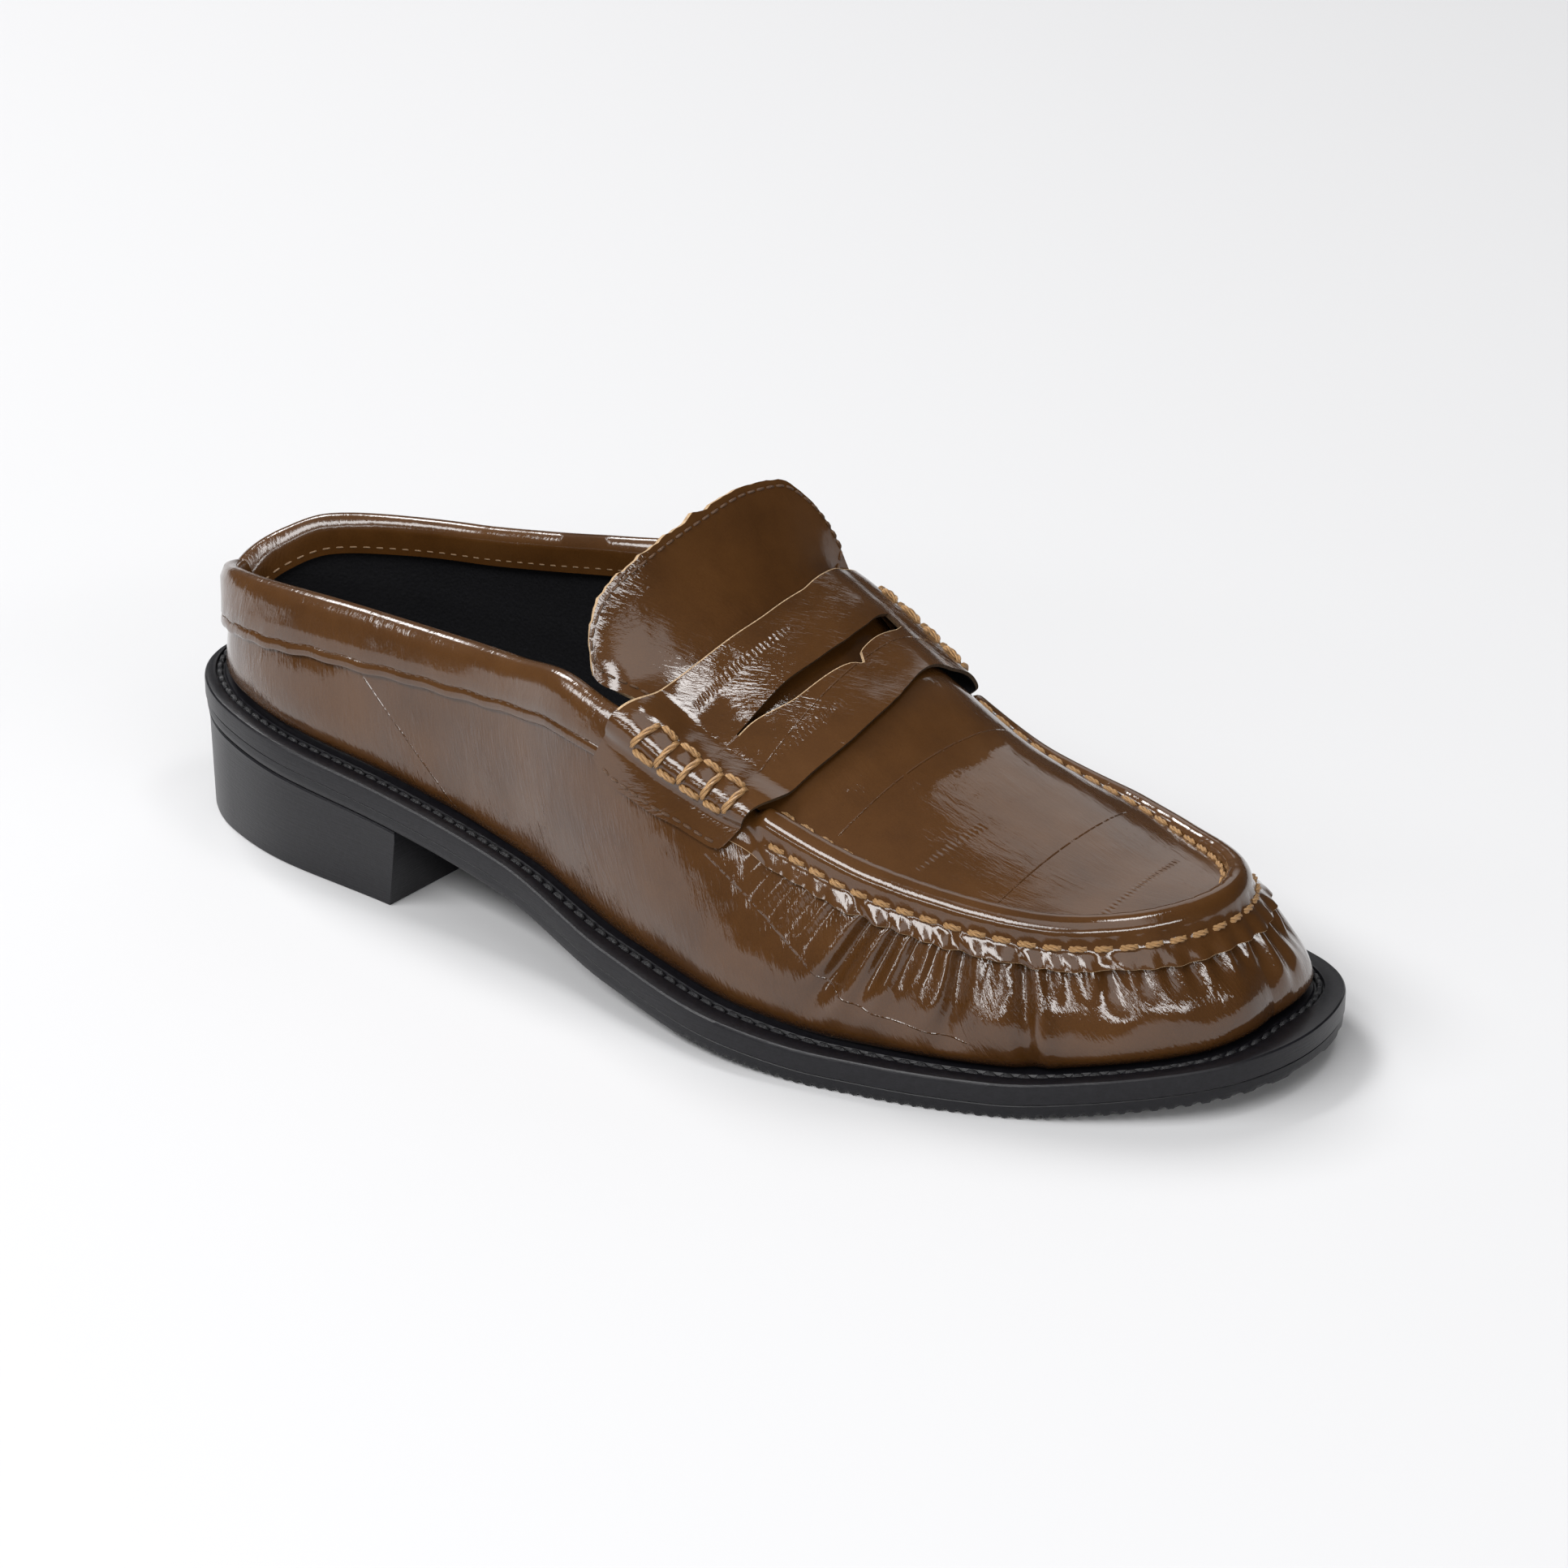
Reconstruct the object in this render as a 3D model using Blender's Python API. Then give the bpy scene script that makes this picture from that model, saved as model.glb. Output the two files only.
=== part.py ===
# Loafer mule, right shoe: gathered apron toe, penny strap, low closed collar.
# Metres, +X to the toe, +Y to the inner (medial) side, +Z up, floor at z = 0.
import math
import bpy
import numpy as np

for old in list(bpy.data.objects):
    bpy.data.objects.remove(old, do_unlink=True)

mm = 0.001
gap = 0.3 * mm

# sizes of the shoe
shoe_length = 270 * mm
ball_width = 97 * mm
sole_edge = 7.7 * mm
arch_rise = 1.0
upper_rise = 50 * mm
toe_swing = 11.3 * mm
heel_run = 76 * mm
heel_taper = 1.2 * mm
breast_rake = 2.5 * mm
welt_share = 0.58
groove_in = 1.5 * mm
groove_wide = 1.5 * mm
groove_deep = 0.5 * mm

# sizes of the leather
wall = 2.0 * mm
strap_thick = 1.8 * mm
tongue_thick = 1.8 * mm
bind_thick = 0.8 * mm
bind_outer = 12 * mm
bind_inner = 9 * mm
bind_ease = 0.5 * mm
insole_thick = 3.0 * mm
roll_high = 3.4 * mm
roll_wide = 5.4 * mm
flange_drop = 6.6 * mm
flange_step = 1.1 * mm
beef_high = 3.4 * mm
tab_drop = 11 * mm
tab_lean_rear = 0.0
tab_lean_front = 3.6
medial_roll = 0.6
collar_back = 3.5 * mm
ridge_front = 251 * mm
throat = 0.600
peak_place = 0.25
lateral_arch = 1.9
medial_arch = 2.9
seam_foot = 4.8 * mm
tongue_start = 0.655
roll_start = 0.689
around = 96
apron_places = (-0.86, -0.74, -0.62, -0.46, -0.30, -0.15, 0.0,
                0.10, 0.20, 0.30, 0.44, 0.58, 0.72, 0.86)


def curve(xs, ys):
    """Smooth curve through given points, without overshoot."""
    xs = np.asarray(xs, float)
    ys = np.asarray(ys, float)
    run = np.diff(xs)
    rise = np.diff(ys) / run
    slope = np.zeros(len(xs))
    slope[0] = rise[0]
    slope[-1] = rise[-1]
    for i in range(1, len(xs) - 1):
        if rise[i - 1] * rise[i] > 0:
            w1 = 2 * run[i] + run[i - 1]
            w2 = run[i] + 2 * run[i - 1]
            slope[i] = (w1 + w2) / (w1 / rise[i - 1] + w2 / rise[i])

    def at(x):
        x = min(max(float(x), xs[0]), xs[-1])
        i = int(min(max(np.searchsorted(xs, x) - 1, 0), len(xs) - 2))
        h = xs[i + 1] - xs[i]
        s = (x - xs[i]) / h
        low = (1 + 2 * s) * (1 - s) ** 2 * ys[i] + s * (1 - s) ** 2 * h * slope[i]
        high = s * s * (3 - 2 * s) * ys[i + 1] + s * s * (s - 1) * h * slope[i + 1]
        return low + high
    return at


def turn(share):
    return math.acos(1 - 2 * min(max(share, 0.0), 1.0))


# rim of the sole: half widths are shares of the ball width
rim = [
    # share of length, lateral, medial
    (0.000, 0.000, 0.000),
    (0.030, 0.180, 0.165),
    (0.080, 0.268, 0.262),
    (0.160, 0.330, 0.335),
    (0.270, 0.356, 0.335),
    (0.400, 0.402, 0.300),
    (0.520, 0.484, 0.358),
    (0.640, 0.540, 0.455),
    (0.760, 0.502, 0.508),
    (0.860, 0.425, 0.455),
    (0.930, 0.322, 0.366),
    (0.975, 0.215, 0.249),
    (1.000, 0.000, 0.000),
]
# height of the sole's underside, flat on the floor under the ball
underside = [
    # share of length, height mm
    (0.00, 23.1),
    (0.14, 20.7),
    (0.27, 18.1),
    (0.40, 13.8),
    (0.52, 6.3),
    (0.64, 1.6),
    (0.72, 0.0),
    (0.84, 0.0),
    (0.90, 1.4),
    (1.00, 4.8),
]
# how far the leather stands inside the rim, by turn round the shoe
margin = [
    # turn, inset mm
    (0.00, 3.0),
    (0.40, 5.0),
    (0.90, 5.8),
    (1.35, 5.0),
    (1.75, 6.5),
    (2.40, 5.6),
    (2.80, 6.2),
    (math.pi, 9.0),
]
# top line of the wall: collar behind the throat, apron seam in front of it
top_line = [
    # share, lateral, medial, lateral rise, medial rise
    (0.00, 0.000, 0.000, 0.370, 0.370),
    (0.02, 0.096, 0.096, 0.430, 0.490),
    (0.05, 0.155, 0.158, 0.490, 0.560),
    (0.10, 0.206, 0.220, 0.548, 0.590),
    (0.19, 0.248, 0.262, 0.625, 0.650),
    (0.27, 0.260, 0.268, 0.665, 0.735),
    (0.35, 0.282, 0.282, 0.722, 0.835),
    (0.42, 0.325, 0.316, 0.805, 0.920),
    (0.50, 0.386, 0.355, 0.932, 0.990),
    (0.55, 0.403, 0.369, 0.928, 0.990),
    (0.60, 0.401, 0.370, 0.840, 0.920),
    (0.64, 0.396, 0.365, 0.788, 0.830),
    (0.68, 0.391, 0.356, 0.742, 0.745),
    (0.76, 0.392, 0.350, 0.665, 0.605),
    (0.83, 0.366, 0.338, 0.595, 0.540),
    (0.88, 0.333, 0.304, 0.555, 0.515),
    (0.93, 0.280, 0.250, 0.525, 0.500),
    (0.97, 0.195, 0.178, 0.502, 0.492),
    (1.00, 0.000, 0.000, 0.490, 0.490),
]
# fullness: outward swell of the wall in mm and rise of the apron's middle
fullness = [
    # share, swell mm, crown
    (0.00, -1.4, 0.250),
    (0.08, 0.4, 0.250),
    (0.25, 1.8, 0.250),
    (0.45, 2.2, 0.250),
    (0.56, 3.0, 0.255),
    (0.60, 3.4, 0.255),
    (0.68, 4.0, 0.255),
    (0.76, 4.0, 0.200),
    (0.83, 3.6, 0.145),
    (0.88, 3.2, 0.105),
    (0.93, 3.0, 0.066),
    (0.97, 2.8, 0.032),
    (1.00, 2.8, 0.000),
]
# free edge of the tongue, from the lateral corner over the top
tongue_edge = [
    # across, x of length, y of ball width, z of rise
    (-1.00, 0.481, -0.345, 1.330),
    (-0.85, 0.472, -0.325, 1.480),
    (-0.65, 0.470, -0.280, 1.610),
    (-0.35, 0.478, -0.170, 1.730),
    (0.00, 0.485, -0.010, 1.816),
    (0.30, 0.491, 0.120, 1.860),
    (0.55, 0.498, 0.212, 1.845),
    (0.75, 0.509, 0.280, 1.735),
    (0.90, 0.520, 0.330, 1.560),
    (1.00, 0.528, 0.352, 1.400),
]
# strap: share along the top line of its edges and slot, by place across
strap_shape = [
    # across, rear edge, slot rear, slot front, front edge
    (-1.00, 0.560, 0.623, 0.625, 0.682),
    (-0.62, 0.566, 0.626, 0.628, 0.690),
    (-0.30, 0.573, 0.626, 0.639, 0.695),
    (0.00, 0.577, 0.629, 0.641, 0.695),
    (0.20, 0.577, 0.629, 0.652, 0.692),
    (0.30, 0.577, 0.628, 0.640, 0.688),
    (0.44, 0.574, 0.626, 0.635, 0.683),
    (0.72, 0.566, 0.620, 0.624, 0.676),
    (1.00, 0.558, 0.613, 0.615, 0.673),
]

rim_turns = [turn(row[0]) for row in rim]
rim_lateral = curve(rim_turns, [row[1] for row in rim])
rim_medial = curve(rim_turns, [row[2] for row in rim])
under_mm = curve([row[0] for row in underside], [row[1] for row in underside])
margin_mm = curve([row[0] for row in margin], [row[1] for row in margin])
top_turns = [turn(row[0]) for row in top_line]
top_lateral = curve(top_turns, [row[1] for row in top_line])
top_medial = curve(top_turns, [row[2] for row in top_line])
rise_lateral = curve(top_turns, [row[3] for row in top_line])
rise_medial = curve(top_turns, [row[4] for row in top_line])
swell_mm = curve([row[0] for row in fullness], [row[1] for row in fullness])
crown_of = curve([row[0] for row in fullness], [row[2] for row in fullness])
edge_at = [curve([row[0] for row in tongue_edge], [row[c] for row in tongue_edge])
           for c in (1, 2, 3)]
strap_at = [curve([row[0] for row in strap_shape], [row[c] for row in strap_shape])
            for c in (1, 2, 3, 4)]


def under(x):
    return under_mm(x / shoe_length) * mm * arch_rise


def rim_top(x):
    return under(x) + sole_edge


def swing(x):
    return toe_swing * (x / shoe_length) ** 3


def fold(a):
    """Turn 0..pi on the lateral side, and which side the turn is on."""
    a = a % (2 * math.pi)
    if a <= math.pi:
        return a, -1
    return 2 * math.pi - a, 1


def rim_point(a):
    b, side = fold(a)
    half = rim_lateral(b) if side < 0 else rim_medial(b)
    x = shoe_length * (1 - math.cos(b)) / 2
    return np.array([x, side * half * ball_width + swing(x)])


def rim_out(a):
    """Unit vector out of the rim, level with the floor."""
    d = rim_point(a + 0.03) - rim_point(a - 0.03)
    n = np.array([-d[1], d[0]]) * -1
    return n / np.linalg.norm(n)


def inset(a, depth):
    return rim_point(a) - rim_out(a) * depth


def feather(a, depth=0.0):
    b, side = fold(a)
    return inset(a, margin_mm(b) * mm + depth)


def top_point(a):
    b, side = fold(a)
    share = (1 - math.cos(b)) / 2
    x = collar_back + share * (ridge_front - collar_back)
    half = top_lateral(b) if side < 0 else top_medial(b)
    rise = rise_lateral(b) if side < 0 else rise_medial(b)
    y = side * half * ball_width + swing(x)
    return np.array([x, y, rim_top(x) + rise * upper_rise])


def wall_point(a, v):
    """Outer face of the wall: v 0 at the welt, 1 at the top line."""
    b, side = fold(a)
    foot = feather(a)
    low = np.array([foot[0], foot[1], rim_top(foot[0]) + gap])
    high = top_point(a)
    share = (1 - math.cos(b)) / 2
    out = np.append(rim_out(a), 0.0)
    swell = swell_mm(share) * mm * 4 * v * (1 - v)
    return low + (high - low) * v + out * swell


def wall_down(a, drop):
    """Point of the wall a given distance under its top line."""
    high = wall_point(a, 1.0)
    low = wall_point(a, 0.0)
    return wall_point(a, 1 - drop / np.linalg.norm(high - low))


def out_of(a):
    return np.append(rim_out(a), 0.0)


def apron_height(x, y):
    """Outer face over the foot at a place in plan, fuller on the medial side."""
    share = (x - collar_back) / (ridge_front - collar_back)
    a = turn(share)
    lat = top_point(a)
    med = top_point(2 * math.pi - a)
    t = 0.0
    if med[1] - lat[1] > 1e-6:
        t = min(max(2 * (y - lat[1]) / (med[1] - lat[1]) - 1, -1.0), 1.0)
    side = (t - peak_place) / (1 + peak_place) if t < peak_place else (t - peak_place) / (1 - peak_place)
    arch = 1 - abs(side) ** (lateral_arch if t < peak_place else medial_arch)
    return lat[2] + (med[2] - lat[2]) * (t + 1) / 2 + crown_of(share) * upper_rise * arch


def apron(share, t):
    """Outer face over the foot: t -1 at the lateral seam, 1 at the medial."""
    a = turn(share)
    lat = top_point(a)
    med = top_point(2 * math.pi - a)
    p = lat + (med - lat) * (t + 1) / 2
    p[2] = apron_height(p[0], p[1])
    return p


def apron_inset(a, depth):
    """Point of the apron a given way in from its seam."""
    p = top_point(a) - out_of(a) * depth
    p[2] = apron_height(p[0], p[1])
    return p


def bring(points):
    """Shoe's own frame to the part's frame."""
    pts = np.asarray(points, float).reshape(-1, 3).copy()
    pts[:, 0] -= shoe_length / 2
    pts[:, 1] -= middle_y
    return pts


loop_y = [rim_point(2 * math.pi * i / 720)[1] for i in range(720)]
middle_y = (max(loop_y) + min(loop_y)) / 2

shoe = bpy.data.collections.new("loafer_mule")
bpy.context.scene.collection.children.link(shoe)


def material(name, color, rough, coat=0.0):
    mat = bpy.data.materials.new(name)
    mat.use_nodes = True
    shader = mat.node_tree.nodes["Principled BSDF"]
    shader.inputs["Base Color"].default_value = (*color, 1.0)
    shader.inputs["Roughness"].default_value = rough
    shader.inputs["Coat Weight"].default_value = coat
    mat.diffuse_color = (*color, 1.0)
    return mat


def place(name, points, faces, mat):
    """One closed mesh object, smooth shaded, normals outward."""
    mesh = bpy.data.meshes.new(name)
    mesh.from_pydata([tuple(p) for p in bring(points)], [], faces)
    mesh.validate()
    mesh.update()
    for poly in mesh.polygons:
        poly.use_smooth = True
    mesh.set_sharp_from_angle(angle=math.radians(38))
    mesh.materials.append(mat)
    obj = bpy.data.objects.new(name, mesh)
    shoe.objects.link(obj)
    return obj


def grid_faces(index, flip=False):
    """Quads over a table of point numbers."""
    faces = []
    for r in range(len(index) - 1):
        for c in range(len(index[r]) - 1):
            quad = [index[r][c], index[r][c + 1], index[r + 1][c + 1], index[r + 1][c]]
            ring = []
            for q in quad:
                if q not in ring:
                    ring.append(q)
            if len(ring) > 2:
                faces.append(ring[::-1] if flip else ring)
    return faces


def slab(name, rows, mat, count=around, turns=None):
    """Closed plate: rows of (plan point by turn, height by x), bottom to top."""
    angles = turns or [2 * math.pi * i / count for i in range(count)]
    points = []
    table = []
    for plan, height in rows:
        line = []
        for a in angles:
            p = plan(a)
            line.append(len(points))
            points.append((p[0], p[1], height(p[0])))
        table.append(line + [line[0]])
    faces = grid_faces(table)
    n = len(angles)
    for line, flip in ((table[0], True), (table[-1], False)):
        ladder = []
        for i in range(n // 2 + 1):
            ladder.append([line[(n - i) % n], line[i]])
        faces += grid_faces(ladder, flip)
    return place(name, points, faces, mat)


leather = material("patent_leather", (0.102, 0.041, 0.010), 0.22, 0.6)
rubber = material("black_rubber", (0.012, 0.012, 0.013), 0.55)
heel_mat = material("heel_rubber", (0.010, 0.010, 0.011), 0.5)
welt_mat = material("welt_rubber", (0.014, 0.014, 0.015), 0.5)
lining = material("black_lining", (0.008, 0.008, 0.009), 0.85)
tongue_mat = material("tongue_leather", (0.102, 0.041, 0.010), 0.22, 0.6)
strap_mat = material("strap_leather", (0.105, 0.043, 0.011), 0.22, 0.6)
bind_mat = material("binding_leather", (0.098, 0.040, 0.010), 0.24, 0.6)

# outsole: thin plate with an eased lower corner
plate_top = sole_edge * (1 - welt_share) - gap
outsole = slab("outsole", [
    (lambda a: inset(a, 1.3 * mm), lambda x: under(x)),
    (lambda a: inset(a, 0.5 * mm), lambda x: under(x) + 0.5 * mm),
    (lambda a: inset(a, 0.3 * mm), lambda x: under(x) + plate_top),
], rubber)


# heel block: the rim's back part closed by a straight breast
def heel_block():
    steps = 22
    end = turn(heel_run / shoe_length)
    layers = [
        # inset, height, reach of the breast
        (heel_taper + 0.7 * mm, lambda x: 0.0, heel_run - breast_rake - 0.7 * mm),
        (heel_taper, lambda x: 0.7 * mm, heel_run - breast_rake),
        (0.5 * mm, lambda x: under(x) - gap, heel_run),
    ]
    points = []
    table = []
    for depth, height, reach in layers:
        line = []
        for i in range(-steps, steps + 1):
            p = inset(end * i / steps, depth)
            x = min(p[0] * reach / inset(end, depth)[0], reach)
            line.append(len(points))
            points.append((x, p[1], height(x)))
        table.append(line + [line[0]])
    faces = grid_faces(table)
    for line, flip in ((table[0], True), (table[-1], False)):
        ladder = [[line[steps - i], line[steps + i]] for i in range(steps + 1)]
        faces += grid_faces(ladder, flip)
    return place("heel_block", points, faces, heel_mat)


heel = heel_block()


# welt: ring with a stitch groove, the leather stands on its inner part
def welt_ring():
    low = -sole_edge * welt_share
    profile = [
        # depth from the rim, height from the rim's top, measured from the leather
        (0.3 * mm, low, False),
        (0.0, low + 0.4 * mm, False),
        (0.0, -0.7 * mm, False),
        (0.6 * mm, 0.0, False),
        (groove_in, 0.0, False),
        (groove_in + 0.3 * mm, -groove_deep, False),
        (groove_in + groove_wide - 0.3 * mm, -groove_deep, False),
        (groove_in + groove_wide, 0.0, False),
        (3.0 * mm, 0.0, True),
        (3.0 * mm, low, True),
    ]
    points = []
    table = []
    for depth, lift, inner in profile:
        line = []
        for i in range(around):
            a = 2 * math.pi * i / around
            p = feather(a, depth) if inner else inset(a, min(depth, margin_mm(fold(a)[0]) * mm))
            line.append(len(points))
            points.append((p[0], p[1], rim_top(p[0]) + lift))
        table.append(line + [line[0]])
    table.append(table[0])
    return place("welt", points, grid_faces(table), welt_mat)


welt = welt_ring()

# insole: footbed lying on the outsole inside the welt and the wall
insole = slab("insole", [
    (lambda a: feather(a, 3.4 * mm), lambda x: under(x) + plate_top + gap),
    (lambda a: feather(a, 3.4 * mm), lambda x: rim_top(x) + insole_thick - 0.8 * mm),
    (lambda a: feather(a, 4.2 * mm), lambda x: rim_top(x) + insole_thick),
], lining, 64)


def hollow_upper():
    """Wall all round and apron in front as one hollow solid."""
    lateral = [math.pi * 2 * k / around for k in range(around // 2 + 1)]
    lateral = sorted(lateral + [turn(throat), turn(roll_start), turn(roll_start + 0.009)])
    half = len(lateral) - 1
    turns = lateral + [2 * math.pi - a for a in lateral[-2:0:-1]]
    count = len(turns)
    first = lateral.index(turn(throat))
    points = []
    faces = []

    def add(p):
        points.append(np.array(p, float))
        return len(points) - 1

    outer = []
    inner = []
    up = np.array([0.0, 0.0, 1.0])
    for k in range(count):
        a = turns[k]
        b, side = fold(a)
        share = (1 - math.cos(b)) / 2
        out = out_of(a)
        high = top_point(a)
        line = [wall_point(a, v) for v in (0.0, 0.22, 0.42, 0.6)]
        front = first <= k <= count - first
        if front:
            grow = min(max((share - roll_start) / 0.009, 0.0), 1.0)
            drop = flange_drop
            line.append(wall_down(a, drop + 0.3 * mm))
            line.append(wall_down(a, drop) + out * flange_step * grow)
            line.append(wall_down(a, 0.4 * drop) + out * flange_step * grow)
            edge = wall_down(a, 0.8 * mm)
            line.append(edge + (out * 0.36 * roll_wide + up * 0.5 * roll_high) * grow)
            line.append(high + (out * 0.05 * roll_wide + up * roll_high) * grow)
            cross = apron_inset(a, 0.45 * seam_foot)
            line.append(cross + up * 0.8 * roll_high * grow)
            foot = apron_inset(a, seam_foot)
            line.append(foot)
        else:
            for v in (0.76, 0.86, 0.94, 0.985):
                line.append(wall_point(a, v))
            line.append(high - up * 0.1 * mm - out * 0.25 * wall)
            line.append(high - up * 0.1 * mm - out * 0.6 * wall)
            line.append(high - up * 0.3 * mm - out * wall)
        outer.append([add(p) for p in line])
        line = [wall_point(a, v) - out * wall for v in (0.0, 0.25, 0.5, 0.72)]
        if front:
            line.append(wall_down(a, 2.4 * mm) - out * wall)
            line.append(foot - up * 1.15 * wall)
        else:
            line.append(wall_point(a, 0.86) - out * wall)
            line.append(wall_point(a, 0.97) - out * wall)
        inner.append([add(p) for p in line])

    outer.append(outer[0])
    inner.append(inner[0])
    faces += grid_faces(outer, True)
    faces += grid_faces(inner)
    faces += grid_faces([[o[0], i[0]] for o, i in zip(outer, inner)])
    rear = list(range(count - first, count + 1)) + list(range(1, first + 1))
    rim_pair = [[outer[k % count][-1], inner[k % count][-1]] for k in rear]
    faces += grid_faces(rim_pair, True)

    skin = []
    flesh = []
    for k in range(first, half):
        top = [outer[k][-1]]
        low = [inner[k][-1]]
        lat = points[outer[k][-1]]
        med = points[outer[count - k][-1]]
        for t in apron_places[1:-1]:
            p = lat + (med - lat) * (t / apron_places[-1] + 1) / 2
            p[2] = apron_height(p[0], p[1])
            top.append(add(p))
            low.append(add(p - up * 1.15 * wall))
        top.append(outer[count - k][-1])
        low.append(inner[count - k][-1])
        skin.append(top)
        flesh.append(low)
    skin.append([outer[half][-1]] * len(apron_places))
    flesh.append([inner[half][-1]] * len(apron_places))
    faces += grid_faces(skin, True)
    faces += grid_faces(flesh)
    faces += grid_faces([skin[0], flesh[0]])
    return place("upper", points, faces, leather)


upper = hollow_upper()


def shell(name, rows, thick, mat, holes=()):
    """Closed sheet: rows of (point, outward normal), given thickness inward."""
    points = []
    top = []
    low = []
    for line in rows:
        a = []
        b = []
        for p, n, extra in line:
            a.append(len(points))
            points.append(p + n * extra)
            b.append(len(points))
            points.append(p - n * thick)
        top.append(a)
        low.append(b)
    faces = []
    edges = {}
    for r in range(len(rows) - 1):
        for c in range(len(rows[0]) - 1):
            if (r, c) in holes:
                continue
            quad = [(r, c), (r + 1, c), (r + 1, c + 1), (r, c + 1)]
            faces.append([top[i][j] for i, j in quad])
            faces.append([low[i][j] for i, j in reversed(quad)])
            for i in range(4):
                e = (quad[i], quad[(i + 1) % 4])
                if (e[1], e[0]) in edges:
                    del edges[(e[1], e[0])]
                else:
                    edges[e] = True
    for (i, j), (k, m) in edges:
        faces.append([top[k][m], top[i][j], low[i][j], low[k][m]])
    return place(name, points, faces, mat)


def with_normals(grid, lift=0.0, extra=None):
    """Give each point of a grid its outward normal, lifted off the face."""
    pts = np.array(grid, float)
    du = np.gradient(pts, axis=0)
    dv = np.gradient(pts, axis=1)
    n = np.cross(du, dv)
    n /= np.linalg.norm(n, axis=2)[:, :, None]
    rows = []
    for r in range(pts.shape[0]):
        line = []
        for c in range(pts.shape[1]):
            add = extra[r][c] if extra is not None else 0.0
            line.append((pts[r, c] + n[r, c] * lift, n[r, c], add))
        rows.append(line)
    return rows


# tongue: starts under the apron's rear edge and flares up behind the strap
def tongue_sheet():
    across = 22
    grid = []
    for r in range(4):
        line = []
        for c in range(across + 1):
            t = 1 - 2 * c / across
            share = tongue_start + (strap_at[0](t) + 0.003 - tongue_start) * r / 3
            p = apron(share, t * 0.86)
            p[2] -= 1.15 * wall + gap + 0.2 * mm
            line.append(p)
        grid.append(line)
    rows_free = 8
    for r in range(1, rows_free + 1):
        v = r / rows_free
        line = []
        for c in range(across + 1):
            t = 1 - 2 * c / across
            start = grid[3][c]
            lead = (grid[3][c] - grid[2][c]) / np.linalg.norm(grid[3][c] - grid[2][c])
            end = np.array([edge_at[0](t) * shoe_length,
                            edge_at[1](t) * ball_width,
                            edge_at[2](t) * upper_rise])
            reach = np.linalg.norm(end - start)
            steep = np.array([-0.45, 0.0, 0.9]) * reach * 0.9
            lead = lead * reach * 0.9
            h = (2 * v ** 3 - 3 * v ** 2 + 1, v ** 3 - 2 * v ** 2 + v,
                 -2 * v ** 3 + 3 * v ** 2, v ** 3 - v ** 2)
            line.append(h[0] * start + h[1] * lead + h[2] * end + h[3] * steep)
        grid.append(line)
    return shell("tongue", with_normals(grid), tongue_thick, tongue_mat)


tongue = tongue_sheet()


# strap: saddle over the apron with a shaped slot, ends rolled over the seam
def strap_sheet():
    ends = [
        # kind, side or place across, drop down the wall, height of the rolled end
        ("wall", 1.0, tab_drop, 0.0),
        ("wall", 1.0, tab_drop * 0.68, 0.0),
        ("wall", 1.0, 4.2 * mm, 0.0),
        ("wall", 1.0, 1.6 * mm, 0.62 * beef_high),
        ("wall", 1.0, 0.0, 0.95 * beef_high),
        ("apron", 0.94, 0.0, beef_high),
        ("apron", 0.86, 0.0, 0.55 * beef_high),
        ("apron", 0.80, 0.0, 0.0),
    ]
    middle = [("apron", t, 0.0, 0.0) for t in apron_places[1:-1]]
    path = [(kind, -where, drop, high) for kind, where, drop, high in ends]
    path = path + middle + ends[::-1]
    bands = [(0, 0.0), (0, 0.5), (1, 0.0), (2, 0.0), (2, 0.5), (3, 0.0)]
    grid = []
    extra = []
    for index, part in bands:
        line = []
        lift = []
        for kind, where, drop, high in path:
            t = where if kind == "apron" else float(where)
            cut = strap_at[index](t)
            if part:
                cut = cut * (1 - part) + strap_at[index + 1](t) * part
            cut -= drop * (tab_lean_rear + (tab_lean_front - tab_lean_rear) * (index + part) / 3)
            high = high * (medial_roll if where > 0 else 1.0)
            a = turn(cut)
            if kind == "apron":
                p = apron(cut, t)
            else:
                side = a if where < 0 else 2 * math.pi - a
                p = wall_down(side, drop)
            line.append(p)
            lift.append(high)
        grid.append(line)
        extra.append(lift)
    slot_columns = [c for c in range(len(path) - 1)
                    if abs(path[c][1]) < 0.75 and abs(path[c + 1][1]) < 0.75]
    holes = {(2, c) for c in slot_columns}
    rows = with_normals(grid, gap + strap_thick, extra)
    return shell("strap", rows, strap_thick, strap_mat, holes)


strap = strap_sheet()


# binding: folded band over the collar's edge
def collar_binding():
    last = turn(0.5565)
    steps = 34
    points = []
    table = []
    up = np.array([0.0, 0.0, 1.0])
    for i in range(-steps, steps + 1):
        a = last * i / steps * -1
        out = out_of(a)
        top = top_point(a)
        face = bind_ease
        skin = face + bind_thick
        back = wall + bind_ease
        deep = back + bind_thick
        ring = [
            wall_down(a, bind_outer) + out * face,
            wall_down(a, bind_outer) + out * skin,
            wall_down(a, bind_outer * 0.5) + out * skin,
            wall_down(a, 1.0 * mm) + out * skin,
            top + up * skin + out * 0.1 * mm,
            top + up * (skin + 0.2 * mm) - out * wall * 0.5,
            top + up * skin - out * wall * 1.1,
            wall_down(a, 1.0 * mm) - out * deep,
            wall_down(a, bind_inner * 0.55) - out * deep,
            wall_down(a, bind_inner) - out * deep,
            wall_down(a, bind_inner) - out * back,
            wall_down(a, 0.2 * mm) - out * back,
            top + up * face - out * wall * 0.9,
            top + up * face,
            wall_down(a, 0.2 * mm) + out * face,
        ]
        line = []
        for p in ring:
            line.append(len(points))
            points.append(p)
        table.append(line + [line[0]])
    faces = grid_faces(table)
    faces.append(table[0][:-1][::-1])
    faces.append(table[-1][:-1])
    return place("collar_binding", points, faces, bind_mat)


binding = collar_binding()
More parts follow.
